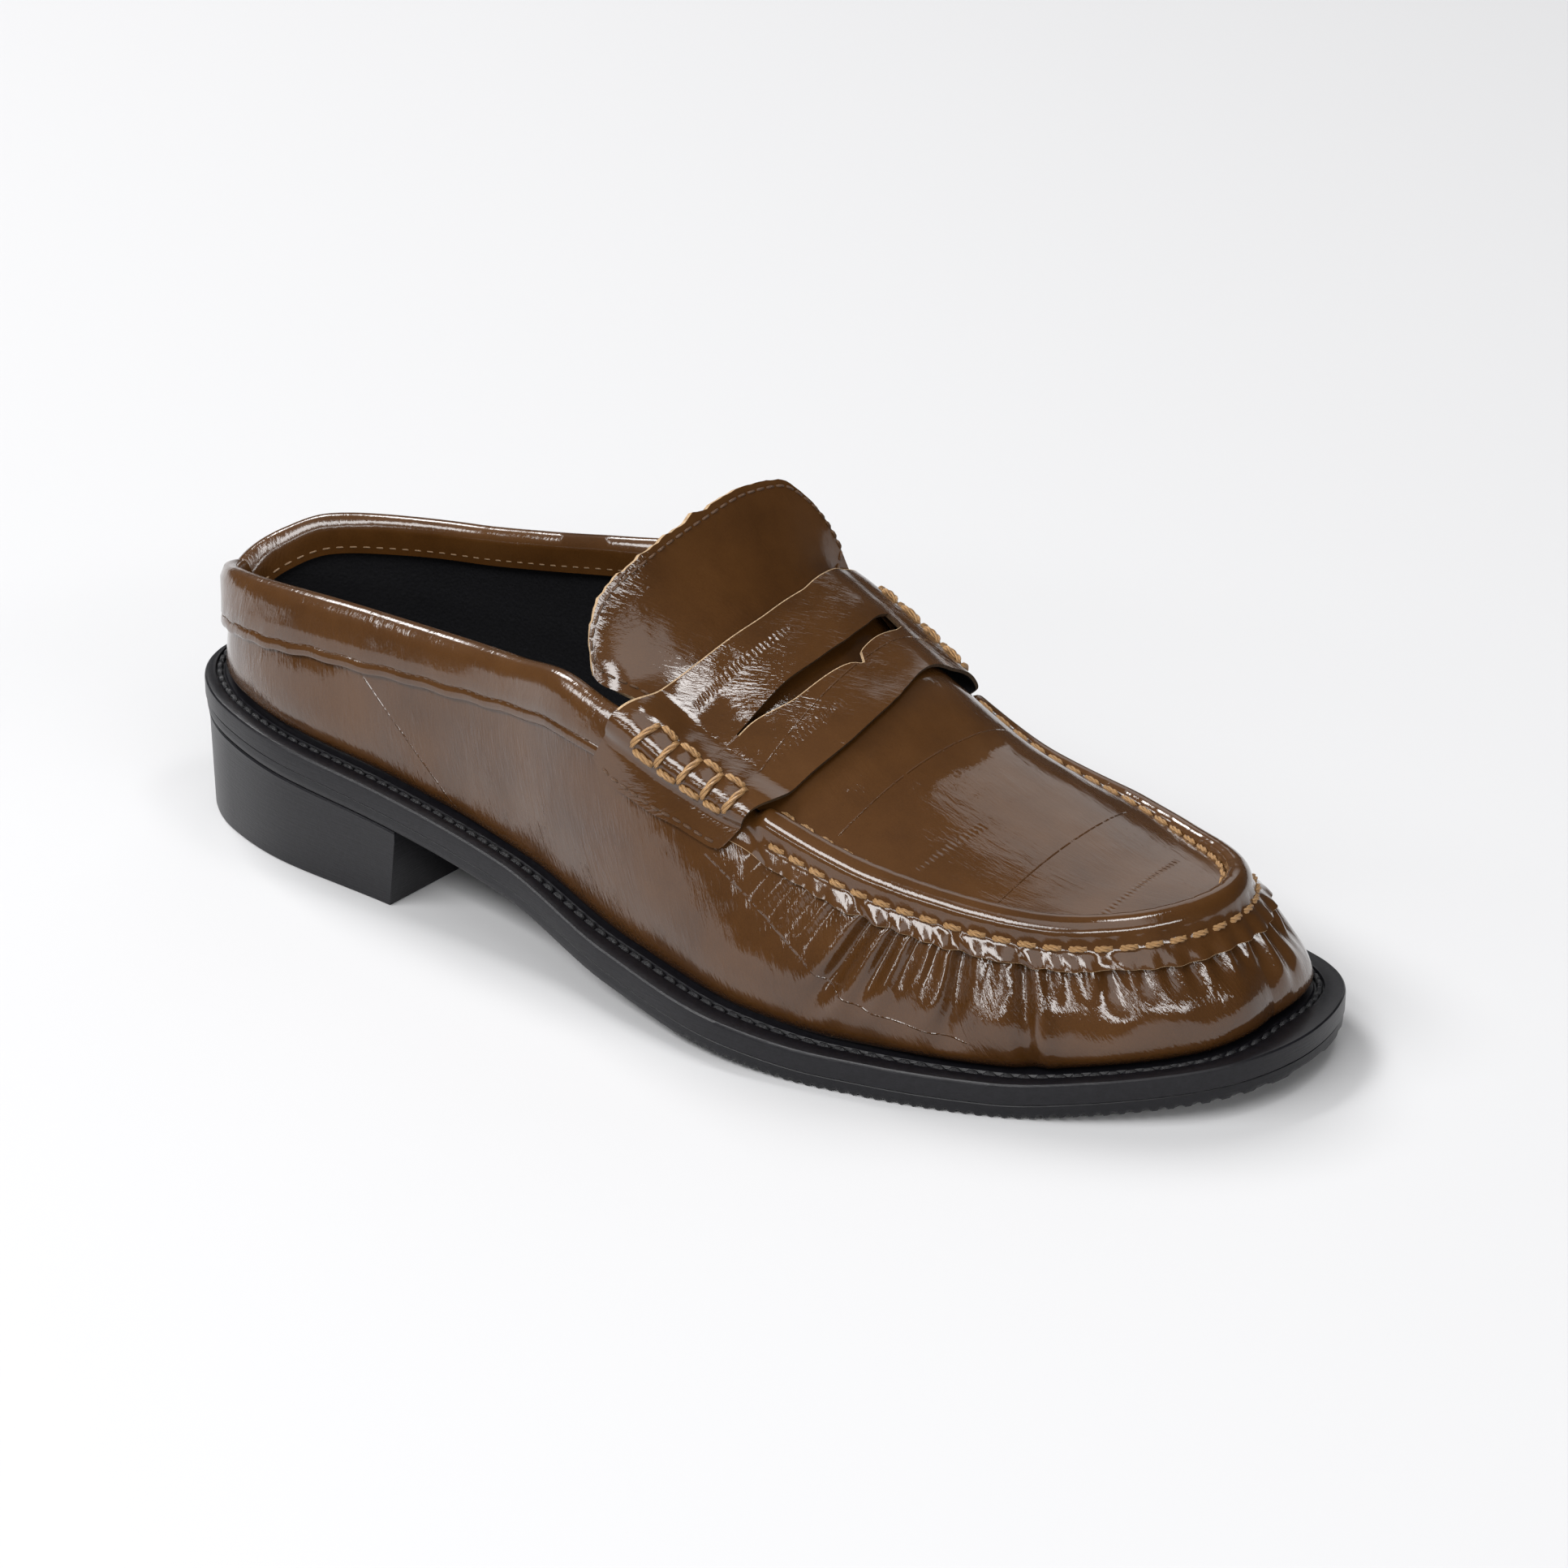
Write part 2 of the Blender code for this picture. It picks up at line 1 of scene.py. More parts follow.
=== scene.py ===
# Loafer mule, right shoe, brown crinkled patent leather on a black sole.
import math
import random
from contextlib import contextmanager
import bpy
import numpy as np
from mathutils import Matrix, Vector


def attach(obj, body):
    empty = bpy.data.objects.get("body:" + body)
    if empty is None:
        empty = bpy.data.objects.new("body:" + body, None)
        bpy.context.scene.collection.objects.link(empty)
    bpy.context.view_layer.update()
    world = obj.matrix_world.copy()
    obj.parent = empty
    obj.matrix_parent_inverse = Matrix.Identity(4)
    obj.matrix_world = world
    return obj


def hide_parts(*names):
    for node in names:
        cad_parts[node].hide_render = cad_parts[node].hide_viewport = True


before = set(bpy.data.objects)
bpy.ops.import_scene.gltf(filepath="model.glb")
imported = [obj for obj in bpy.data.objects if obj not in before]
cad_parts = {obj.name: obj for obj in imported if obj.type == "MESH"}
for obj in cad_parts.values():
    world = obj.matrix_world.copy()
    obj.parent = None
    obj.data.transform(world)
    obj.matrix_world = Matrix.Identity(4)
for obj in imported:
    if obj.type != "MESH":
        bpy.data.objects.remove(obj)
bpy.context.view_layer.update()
mm = 0.001  # the shoe's own lengths are in mm, the materials' in metres
random.seed(7)

# node helpers
# sets or links a node's inputs, given by name or number
def feed(tree, node, inputs):
    for key, value in inputs.items():
        if isinstance(value, bpy.types.NodeSocket):
            tree.links.new(value, node.inputs[key])
        else:
            node.inputs[key].default_value = value
    return node


def nodesOf(name, rough, shine=0.5):
    mat = bpy.data.materials.new(name)
    mat.use_nodes = True
    tree = mat.node_tree
    shader = tree.nodes["Principled BSDF"]
    return mat, tree, feed(tree, shader, {"Roughness": rough, "Specular IOR Level": shine})


# camera, floor and light
view = {
    "azimuth": 37.14, "elevation": 24.29, "roll": 0.27,
    "distance": 1.017, "lens": 113.92, "sensor": 36.0, "target": (0.0074, 0.0094, 0.030),
}
studio = {
    "floorColor": (0.615, 0.615, 0.623), "floorSize": 12, "floorFinish": (0.9, 0.1),
    "world": (0.03, 0.03, 0.0306), "reach": 2.4, "aim": (0, 0, 0.03),
    "lights": [
        # name, azimuth, elevation, width and height in degrees, radiance
        ("keyBox", -106, 50, 20, 20, 17.0),
        ("frontStrip", -12, 46, 64, 14, 10.5),
        ("backPanel", 203, 38, 26, 34, 0.9),
        ("topBox", 124, 73, 11, 8, 13.0),
        ("frontTop", 60, 58, 34, 36, 1.3),
        ("lowStrip", 8, 22, 46, 4, 8.0),
        ("sideStrip", 65, 25, 50, 6, 10.0),
    ],
}


# unit vector from the shoe towards a lamp or the camera
def towards(azimuth, elevation):
    az, el = math.radians(azimuth), math.radians(elevation)
    return Vector((math.sin(az) * math.cos(el), -math.cos(az) * math.cos(el), math.sin(el)))


def added(name, data):
    obj = bpy.data.objects.new(name, data)
    bpy.context.scene.collection.objects.link(obj)
    return obj


def placeCamera():
    data = bpy.data.cameras.new("camera")
    data.lens = view["lens"]
    data.sensor_width = view["sensor"]
    cam = added("camera", data)
    cam.location = Vector(view["target"]) + towards(view["azimuth"], view["elevation"]) * view["distance"]
    az, el, roll = (math.radians(view[k]) for k in ("azimuth", "elevation", "roll"))
    turned = Matrix.Rotation(az, 3, "Z") @ Matrix.Rotation(math.pi / 2 - el, 3, "X")
    cam.rotation_euler = (turned @ Matrix.Rotation(-roll, 3, "Z")).to_euler()
    bpy.context.scene.camera = cam
    print("camera placed")


def lightStudio():
    far, aim = studio["reach"], Vector(studio["aim"])
    for name, az, el, wide, high, glow in studio["lights"]:
        data = bpy.data.lights.new(name, "AREA")
        data.shape = "RECTANGLE"
        data.size, data.size_y = (2 * far * math.tan(math.radians(d) / 2) for d in (wide, high))
        data.energy = glow * math.pi * data.size * data.size_y
        lamp = added(name, data)
        lamp.location = aim + towards(az, el) * far
        lamp.rotation_euler = (aim - lamp.location).to_track_quat("-Z", "Y").to_euler()
    world = bpy.data.worlds.new("paleRoom")
    world.use_nodes = True
    world.node_tree.nodes["Background"].inputs["Color"].default_value = (*studio["world"], 1)
    bpy.context.scene.world = world
    bpy.ops.object.select_all(action="DESELECT")
    bpy.ops.mesh.primitive_plane_add(size=studio["floorSize"], location=(0, 0, 0))
    floor = bpy.context.object
    floor.name = "floor"
    mat, tree, shader = nodesOf("paleFloor", *studio["floorFinish"])
    feed(tree, shader, {"Base Color": (*studio["floorColor"], 1)})
    floor.data.materials.append(mat)
    bpy.context.scene.view_settings.view_transform = "Standard"
    print("studio lit")


placeCamera()
lightStudio()

# form of the shoe: the same sizes as the solids, mm from the heel's back
shoe = {
    "length": 270, "ballWidth": 97, "soleEdge": 7.7, "rise": 50,
    "toeSwing": 11.3, "wall": 2.0, "collarBack": 3.5, "ridgeFront": 251,
    "seamStart": 0.689, "peak": 0.25, "lateralArch": 1.9, "medialArch": 2.9,
    "seamFoot": 4.8, "gap": 0.3, "rimStep": 0.03,
    "vampRound": (0.55, 0.12, 0.8),  # share of the length, run, how far the fullness sinks
    "quarterFull": (0.15, 0.10, 2.6),  # share of the length, spread, bulge of the lateral side
    "rim": [
        # share of the length, then half widths, lateral and medial, as shares of the ball's width
        (0.000, 0.000, 0.000), (0.030, 0.180, 0.165), (0.080, 0.268, 0.262),
        (0.160, 0.330, 0.335), (0.270, 0.356, 0.335), (0.400, 0.402, 0.300),
        (0.520, 0.484, 0.358), (0.640, 0.540, 0.455), (0.760, 0.502, 0.508),
        (0.860, 0.425, 0.455), (0.930, 0.322, 0.366), (0.975, 0.215, 0.249),
        (1.000, 0.000, 0.000),
    ],
    "underside": [  # share of the length, mm above the floor
        (0.00, 23.1), (0.14, 20.7), (0.27, 18.1), (0.40, 13.8), (0.52, 6.3), (0.64, 1.6),
        (0.72, 0.0), (0.84, 0.0), (0.90, 1.4), (1.00, 4.8),
    ],
    "margin": [  # turn, mm of sole edge outside the wall
        (0.00, 3.0), (0.40, 5.0), (0.90, 5.8), (1.35, 5.0), (1.75, 6.5), (2.40, 5.6),
        (2.80, 6.2), (math.pi, 9.0),
    ],
    "topLine": [
        # share, half widths and heights of the top edge, each lateral and medial
        (0.00, 0.000, 0.000, 0.370, 0.370), (0.02, 0.096, 0.096, 0.430, 0.490),
        (0.05, 0.155, 0.158, 0.490, 0.560), (0.10, 0.206, 0.220, 0.548, 0.590),
        (0.19, 0.248, 0.262, 0.625, 0.650), (0.27, 0.260, 0.268, 0.665, 0.735),
        (0.35, 0.282, 0.282, 0.722, 0.835), (0.42, 0.325, 0.316, 0.805, 0.920),
        (0.50, 0.386, 0.355, 0.932, 0.990), (0.55, 0.403, 0.369, 0.928, 0.990),
        (0.60, 0.401, 0.370, 0.840, 0.920), (0.64, 0.396, 0.365, 0.788, 0.830),
        (0.68, 0.391, 0.356, 0.742, 0.745), (0.76, 0.392, 0.350, 0.665, 0.605),
        (0.83, 0.366, 0.338, 0.595, 0.540), (0.88, 0.333, 0.304, 0.555, 0.515),
        (0.93, 0.280, 0.250, 0.525, 0.500), (0.97, 0.195, 0.178, 0.502, 0.492),
        (1.00, 0.000, 0.000, 0.490, 0.490),
    ],
    "fullness": [  # share, mm of bow in the wall, share of the rise in the apron's crown
        (0.00, -1.4, 0.250), (0.08, 0.4, 0.250), (0.25, 1.8, 0.250), (0.45, 2.2, 0.250),
        (0.56, 3.0, 0.255), (0.60, 3.4, 0.255), (0.68, 4.0, 0.255), (0.76, 4.0, 0.200),
        (0.83, 3.6, 0.145), (0.88, 3.2, 0.105), (0.93, 3.0, 0.066), (0.97, 2.8, 0.032),
        (1.00, 2.8, 0.000),
    ],
}


# from p to q over s, leaving and arriving with the given slopes
def hermite(s, p, q, leave, arrive):
    return ((2 * s ** 3 - 3 * s ** 2 + 1) * p + (s ** 3 - 2 * s ** 2 + s) * leave
            + (-2 * s ** 3 + 3 * s ** 2) * q + (s ** 3 - s ** 2) * arrive)


# smooth curve through points that never swings past them
def curve(xs, ys):
    run = np.diff(xs)
    rise = np.diff(ys) / run
    slope = np.zeros(len(xs))
    slope[0], slope[-1] = rise[0], rise[-1]
    for i in range(1, len(xs) - 1):
        if rise[i - 1] * rise[i] > 0:
            w1, w2 = 2 * run[i] + run[i - 1], run[i] + 2 * run[i - 1]
            slope[i] = (w1 + w2) / (w1 / rise[i - 1] + w2 / rise[i])

    def at(x):
        x = min(max(float(x), xs[0]), xs[-1])
        i = int(min(max(np.searchsorted(xs, x) - 1, 0), len(xs) - 2))
        h = run[i]
        return hermite((x - xs[i]) / h, ys[i], ys[i + 1], h * slope[i], h * slope[i + 1])
    return at


# a section is named by its turn: 0 at the heel's back, pi at the toe, lateral side first
def turn(share):
    return math.acos(1 - 2 * min(max(share, 0.0), 1.0))


def shareOf(a):
    return (1 - math.cos(a)) / 2


def column(rows, c, byTurn=False):
    return curve([turn(r[0]) if byTurn else r[0] for r in rows], [r[c] for r in rows])


rimLateral, rimMedial = (column(shoe["rim"], c, True) for c in (1, 2))
underMm = column(shoe["underside"], 1)
marginMm = column(shoe["margin"], 1)
topHalf = [column(shoe["topLine"], c, True) for c in (1, 2)]
topRise = [column(shoe["topLine"], c, True) for c in (3, 4)]
swellMm, crownOf = (column(shoe["fullness"], c) for c in (1, 2))


def under(x):
    return underMm(x / shoe["length"])


def rimTop(x):
    return under(x) + shoe["soleEdge"]


def swing(x):
    return shoe["toeSwing"] * (x / shoe["length"]) ** 3


# turn on a half, and its side: -1 lateral, 1 medial
def fold(a):
    a = a % (2 * math.pi)
    return (a, -1) if a <= math.pi else (2 * math.pi - a, 1)


def rimPoint(a):
    b, side = fold(a)
    half = rimLateral(b) if side < 0 else rimMedial(b)
    x = shoe["length"] * shareOf(b)
    return np.array([x, side * half * shoe["ballWidth"] + swing(x)])


rimYs = [rimPoint(math.pi * i / 360)[1] for i in range(720)]
middleY = (max(rimYs) + min(rimYs)) / 2


def rimOut(a):
    d = rimPoint(a + shoe["rimStep"]) - rimPoint(a - shoe["rimStep"])
    n = np.array([d[1], -d[0]])
    return n / np.linalg.norm(n)


def inset(a, depth):
    return rimPoint(a) - rimOut(a) * depth


def feather(a, depth=0.0):
    return inset(a, marginMm(fold(a)[0]) + depth)


def topPoint(a):
    b, side = fold(a)
    k = 0 if side < 0 else 1
    x = shoe["collarBack"] + shareOf(b) * (shoe["ridgeFront"] - shoe["collarBack"])
    y = side * topHalf[k](b) * shoe["ballWidth"] + swing(x)
    return np.array([x, y, rimTop(x) + topRise[k](b) * shoe["rise"]])


ribs = {}


# one upright section of the wall, kept for the next call
def rib(a):
    key = round(a % (2 * math.pi), 7)
    if key not in ribs:
        foot, high, share = feather(a), topPoint(a), shareOf(a)
        low = np.array([foot[0], foot[1], rimTop(foot[0]) + shoe["gap"]])
        at, spread, bulge = shoe["quarterFull"]
        fuller = bulge * math.exp(-((share - at) / spread) ** 2) if fold(a)[1] < 0 else 0.0
        ribs[key] = {"low": low, "high": high, "tall": np.linalg.norm(high - low), "fuller": fuller,
                     "out": np.append(rimOut(a), 0.0), "swell": swellMm(share)}
    return ribs[key]


def wallPoint(a, v):
    r = rib(a)
    start, run, most = shoe["vampRound"]
    k = most * min(max((shareOf(a) - start) / run, 0.0), 1.0)
    even, lowDown = 4 * v * (1 - v), 27 / 4 * v * (1 - v) ** 2  # each rises to one
    bow = r["swell"] * (even * (1 - k) + lowDown * k) + r["fuller"] * lowDown
    return r["low"] + (r["high"] - r["low"]) * v + r["out"] * bow


def wallDown(a, drop):
    return wallPoint(a, 1 - drop / rib(a)["tall"])


def outOf(a):
    return rib(a)["out"]


def apronHeight(x, y):
    a = turn((x - shoe["collarBack"]) / (shoe["ridgeFront"] - shoe["collarBack"]))
    lat, med = rib(a)["high"], rib(2 * math.pi - a)["high"]
    t = 0.0
    if med[1] - lat[1] > 1e-6:
        t = min(max(2 * (y - lat[1]) / (med[1] - lat[1]) - 1, -1.0), 1.0)
    peak = shoe["peak"]
    if t < peak:
        arch = 1 - ((peak - t) / (1 + peak)) ** shoe["lateralArch"]
    else:
        arch = 1 - ((t - peak) / (1 - peak)) ** shoe["medialArch"]
    crown = crownOf(shareOf(a)) * shoe["rise"]
    return lat[2] + (med[2] - lat[2]) * (t + 1) / 2 + crown * arch


# point on the apron, t from -1 at the lateral edge to 1 at the medial one
def apron(share, t):
    a = turn(share)
    lat, med = rib(a)["high"], rib(2 * math.pi - a)["high"]
    p = lat + (med - lat) * (t + 1) / 2
    p[2] = apronHeight(p[0], p[1])
    return p


def apronInset(a, depth):
    p = topPoint(a) - outOf(a) * depth
    p[2] = apronHeight(p[0], p[1])
    return p


upward = np.array([0.0, 0.0, 1.0])
origin = np.array([shoe["length"] / 2, middleY, 0])  # of the frame, on the shoe


# mesh helpers
def only(obj):
    bpy.ops.object.select_all(action="DESELECT")
    obj.select_set(True)
    bpy.context.view_layer.objects.active = obj


@contextmanager
def editing(select="DESELECT"):
    bpy.ops.object.mode_set(mode="EDIT")
    bpy.ops.mesh.select_all(action=select)
    yield
    bpy.ops.object.mode_set(mode="OBJECT")


def unit(vectors):
    return vectors / np.linalg.norm(vectors, axis=-1, keepdims=True)


# length run at each point of a line
def runOf(points):
    return np.concatenate([[0], np.cumsum(np.linalg.norm(np.diff(points, axis=0), axis=1))])


# vectors of a table at the places s, in the table's own places
def between(s, places, table):
    return np.stack([np.interp(s, places, table[:, c]) for c in range(3)], axis=-1)


def smoothed(rows, times):
    for _ in range(times):
        rows[:, 1:-1] = (rows[:, :-2] + 2 * rows[:, 1:-1] + rows[:, 2:]) / 4


def smoothStep(x):
    x = np.clip(x, 0.0, 1.0)
    return x * x * (3 - 2 * x)


# small unevenness of a cut edge
def rippled(i, piece):
    return sum(size * math.sin(i * rate + at) for size, rate, at in piece["ripples"])


# rows of points: u runs along a row, v from row to row, the normal is u x v
def gridPiece(name, table, closeU=False, closeV=False):
    pts = (np.array(table, float) - origin) * mm
    if closeU:
        pts = np.concatenate([pts, pts[:, :1]], axis=1)
    if closeV:
        pts = np.concatenate([pts, pts[:1]], axis=0)
    nv, nu = pts.shape[:2]
    bpy.ops.object.select_all(action="DESELECT")
    bpy.ops.mesh.primitive_grid_add(x_subdivisions=nu - 1, y_subdivisions=nv - 1, size=1)
    obj = bpy.context.object
    obj.name = name
    obj.data.name = name
    obj.data.vertices.foreach_set("co", pts.ravel())
    obj.data.update()
    us = np.linalg.norm(np.diff(pts, axis=1), axis=2).mean(axis=0)
    vs = np.linalg.norm(np.diff(pts, axis=0), axis=2).mean(axis=1)
    us, vs = (np.concatenate([[0], np.cumsum(s)]) for s in (us, vs))
    corner = np.empty(len(obj.data.loops), int)
    obj.data.loops.foreach_get("vertex_index", corner)
    uv = np.stack([us[corner % nu], vs[corner // nu]], axis=1)  # metres along the surface
    obj.data.uv_layers[0].data.foreach_set("uv", uv.ravel())
    if closeU or closeV:
        with editing("SELECT"):
            bpy.ops.mesh.remove_doubles(threshold=0.000005)
    bpy.ops.object.shade_smooth()
    return obj


# rim and back: places in the list of materials
def thicken(obj, thick, materials, rim, back=0):
    for m in materials:
        obj.data.materials.append(m)
    mod = obj.modifiers.new("thickness", "SOLIDIFY")
    mod.thickness = thick * mm
    mod.offset = -1
    mod.material_offset = back
    mod.material_offset_rim = rim
    only(obj)
    bpy.ops.object.modifier_apply(modifier=mod.name)
    crisp(obj)


# marks the edges that turn by more than the angle as sharp
def crisp(obj, degrees=48):
    only(obj)
    with editing():
        bpy.ops.mesh.select_mode(type="EDGE")
        bpy.ops.mesh.edges_select_sharp(sharpness=math.radians(degrees))
        bpy.ops.mesh.mark_sharp()


def joinAll(name, parts):
    bpy.ops.object.select_all(action="DESELECT")
    for p in parts:
        p.select_set(True)
    bpy.context.view_layer.objects.active = parts[0]
    bpy.ops.object.join()
    parts[0].name = name
    parts[0].data.name = name
    return parts[0]


# finishes
def mapped(tree, stretch=(1, 1, 1), turnZ=0.0, kind="Object"):
    coord = tree.nodes.new("ShaderNodeTexCoord")
    mapping = tree.nodes.new("ShaderNodeMapping")
    mapping.vector_type = "TEXTURE"
    feed(tree, mapping, {"Vector": coord.outputs[kind], "Scale": stretch,
                         "Rotation": (0, 0, math.radians(turnZ))})
    return mapping.outputs["Vector"]


def noise(tree, vector, scale, detail=3.0, rough=0.55, distort=0.0):
    n = tree.nodes.new("ShaderNodeTexNoise")
    feed(tree, n, {"Vector": vector, "Scale": scale, "Detail": detail, "Roughness": rough,
                   "Distortion": distort})
    return n.outputs["Fac"]


def ramp(tree, value, stops):
    r = tree.nodes.new("ShaderNodeValToRGB")
    els = r.color_ramp.elements
    els[0].position, els[1].position = stops[0][0], stops[-1][0]
    for pos, _ in stops[1:-1]:
        els.new(pos)
    for e, (_, col) in zip(els, stops):
        e.color = (*col, 1)
    return feed(tree, r, {"Fac": value}).outputs["Color"]


def maths(tree, kind, a, b=0.0, clamp=False):
    m = tree.nodes.new("ShaderNodeMath")
    m.operation = kind
    m.use_clamp = clamp
    return feed(tree, m, {0: a, 1: b}).outputs[0]


def bump(tree, height, strength, distance, normal=None):
    b = tree.nodes.new("ShaderNodeBump")
    feed(tree, b, {"Height": height, "Strength": strength, "Distance": distance})
    if normal is not None:
        tree.links.new(normal, b.inputs["Normal"])
    return b.outputs["Normal"]


patent = {
    "stops": [
        (0.34, (0.0520, 0.0194, 0.0034)), (0.5, (0.0670, 0.0256, 0.0050)), (0.68, (0.0820, 0.0328, 0.0073)),
    ],
    "roughness": 0.5, "specular": 0.1, "coatRoughness": 0.032, "coatIOR": 1.6,
    # noises: scale, detail, roughness, distortion
    "tone": (60, 4.0), "speck": (2600, 2.0), "speckShare": 0.25, "patch": (75, 2.0),
    "waves": (70, 1.5, 0.5), "crinkles": (420, 4.0, 0.6, 0.6), "ticks": (1150, 2.5, 0.65, 0.3),
    "hairs": (2600, 3.0, 0.75), "breaks": (1200,), "wobble": (300,),
    # bumps: strength and height, or height alone
    "waveBump": (0.55, 0.0006), "crinkleHigh": 0.00026, "tickHigh": 0.00016, "hairBump": (0.6, 0.000022),
    "lineBump": (1.0, 0.00014), "combBump": (0.8, 0.00006),
    # how much crinkles and ticks gain in the patches, and what is left outside them
    "crinkleGain": (2.6, 0.12), "tickGain": (3.6, 0.08),
    "lineWide": 0.0002, "lineBreak": 0.44, "combWide": 0.0011, "combPitch": 0.0013, "combWobble": 0.0012,
}


# distance along a line, and a gate that is one on it and falls to none at the width beside it
def alongLine(tree, split, wide, plane, x0, y0, x1, y1):
    flat = plane == "top"
    span = math.hypot(x1 - x0, y1 - y0)
    dx, dy = (x1 - x0) / span, (y1 - y0) / span
    px = maths(tree, "SUBTRACT", split.outputs["X"], (x0 - origin[0]) * mm)
    py = maths(tree, "SUBTRACT", split.outputs["Y" if flat else "Z"], (y0 - origin[1 if flat else 2]) * mm)
    along = maths(tree, "ADD", maths(tree, "MULTIPLY", px, dx), maths(tree, "MULTIPLY", py, dy))
    across = maths(tree, "ABSOLUTE", maths(tree, "SUBTRACT", maths(tree, "MULTIPLY", px, dy),
                                           maths(tree, "MULTIPLY", py, dx)))
    gate = maths(tree, "SUBTRACT", 1.0, maths(tree, "DIVIDE", across, wide), True)
    tests = [("GREATER_THAN", along, 0.0), ("LESS_THAN", along, span * mm)]
    if not flat:
        tests.append(("LESS_THAN", split.outputs["Y"], 0.0))  # the lateral side only
    for test in tests:
        gate = maths(tree, "MULTIPLY", gate, maths(tree, *test))
    return along, gate


# lines and combs: plane, x0, y0, x1, y1 in mm on the shoe; stretch and turn follow the piece's own map
def patentLeather(name, stretch, turnZ, lines=(), combs=(), tick=1.0, crinkle=1.0, haze=1.0):
    mat, tree, shader = nodesOf(name, patent["roughness"], patent["specular"])
    plain = mapped(tree)
    drawn = mapped(tree, stretch, turnZ, "UV")
    tone, speck, patch, waves, breaks, wobble = (
        noise(tree, plain, *patent[k]) for k in ("tone", "speck", "patch", "waves", "breaks", "wobble"))
    crinkles, ticks, hairs = (noise(tree, drawn, *patent[k]) for k in ("crinkles", "ticks", "hairs"))
    share = patent["speckShare"]
    blend = maths(tree, "ADD", maths(tree, "MULTIPLY", tone, 1 - share),
                  maths(tree, "MULTIPLY", speck, share))
    patch = maths(tree, "POWER", patch, 3.0)
    broken = maths(tree, "GREATER_THAN", breaks, patent["lineBreak"])
    wobble = maths(tree, "MULTIPLY", wobble, patent["combWobble"])

    def patched(height, gain, least):
        gained = maths(tree, "ADD", maths(tree, "MULTIPLY", patch, gain), least)
        return maths(tree, "MULTIPLY", height, gained)

    def teeth(along):
        uneven = maths(tree, "ADD", along, wobble)
        return maths(tree, "SINE", maths(tree, "MULTIPLY", uneven, 2 * math.pi / patent["combPitch"]))

    normal = bump(tree, waves, *patent["waveBump"])
    normal = bump(tree, patched(crinkles, *patent["crinkleGain"]), crinkle, patent["crinkleHigh"], normal)
    normal = bump(tree, patched(ticks, *patent["tickGain"]), tick, patent["tickHigh"], normal)
    normal = bump(tree, hairs, *patent["hairBump"], normal)
    split = tree.nodes.new("ShaderNodeSeparateXYZ")
    tree.links.new(plain, split.inputs[0])
    for rows, pattern, kind in ((lines, lambda along: broken, "line"), (combs, teeth, "comb")):
        total = 0.0
        for row in rows:
            along, gate = alongLine(tree, split, patent[kind + "Wide"], *row)
            total = maths(tree, "ADD", maths(tree, "MULTIPLY", gate, pattern(along)), total)
        if rows:
            normal = bump(tree, total, *patent[kind + "Bump"], normal)
    feed(tree, shader, {
        "Base Color": ramp(tree, blend, patent["stops"]), "Coat Weight": 1.0, "Normal": normal,
        "Coat Roughness": patent["coatRoughness"] * haze, "Coat IOR": patent["coatIOR"],
        "Coat Normal": normal,
    })
    return mat


def shades(color, *stops):
    return [(at, tuple(c * share for c in color)) for at, share in stops]


def plainFinish(name, color, rough, scale, height, variation):
    mat, tree, shader = nodesOf(name, rough, 0.15)
    n = noise(tree, mapped(tree), scale, 4.0)
    stops = shades(color, (0.3, 1 - variation), (0.7, 1 + variation))
    feed(tree, shader, {"Base Color": ramp(tree, n, stops), "Normal": bump(tree, n, 0.8, height)})
    return mat


# fibres run along the stitch on the seed's own map; the ramp from the darker to the lighter colour paints
# shade and highlight along them as well as their own streaks
def threadFinish(name, low, high, rough):
    mat, tree, shader = nodesOf(name, rough)
    fibresAndPaintedShade = noise(tree, mapped(tree, (1, 8, 1), 0, "UV"), 26, 3.0, 0.75)
    feed(tree, shader, {"Base Color": ramp(tree, fibresAndPaintedShade, [(0.36, low), (0.60, high)]),
                        "Normal": bump(tree, fibresAndPaintedShade, 0.9, 0.00025)})
    return mat


def rubberSide(name, color, rough):
    mat, tree, shader = nodesOf(name, rough, 0.34)
    lines = noise(tree, mapped(tree, (16, 16, 1)), 2600, 3.0, 0.6)
    dust = noise(tree, mapped(tree), 800, 5.0, 0.7)
    stops = shades(color, (0.3, 0.7), (0.72, 1.5))
    feed(tree, shader, {"Base Color": ramp(tree, dust, stops),
                        "Normal": bump(tree, dust, 0.35, 0.0001, bump(tree, lines, 0.5, 0.00012))})
    return mat


creases = {
    "apron": [("top", 185.7, -27.8, 187.1, 28.0), ("top", 218.3, -21.5, 217.4, 25.0)],
    "apronCombs": [("top", 202.0, -24.4, 204.2, -5.0), ("top", 235.4, -11.5, 234.7, 17.0),
                   ("top", 172.3, -28.0, 174.5, 3.0)],
    "strap": [("top", 167.1, -29.6, 163.4, 33.0)],
    "strapCombs": [("top", 167.8, -25.0, 169.3, -4.0), ("top", 150.0, -27.0, 152.0, 2.0)],
    "side": [("side", 63.6, 47.5, 75.8, 38.5), ("side", 75.8, 38.5, 90.0, 26.0),
             ("side", 161.7, 39.6, 177.2, 30.5), ("side", 177.2, 30.5, 193.1, 20.5),
             ("side", 193.1, 20.5, 202.5, 17.2), ("side", 202.5, 17.2, 222.0, 13.6)],
    "tongue": [("top", 127.5, -30, 131.5, 22)],
    "tongueCombs": [("top", 146.5, -24, 149, 2)],
}
wallPatent = patentLeather("wallPatent", (1, 3.5, 1), 8, creases["side"])
apronPatent = patentLeather("apronPatent", (5, 1, 1), -6, creases["apron"], creases["apronCombs"],
                            0.45, 0.5)
strapPatent = patentLeather("strapPatent", (1, 4.5, 1), 35, creases["strap"], creases["strapCombs"],
                            0.8, 0.6)
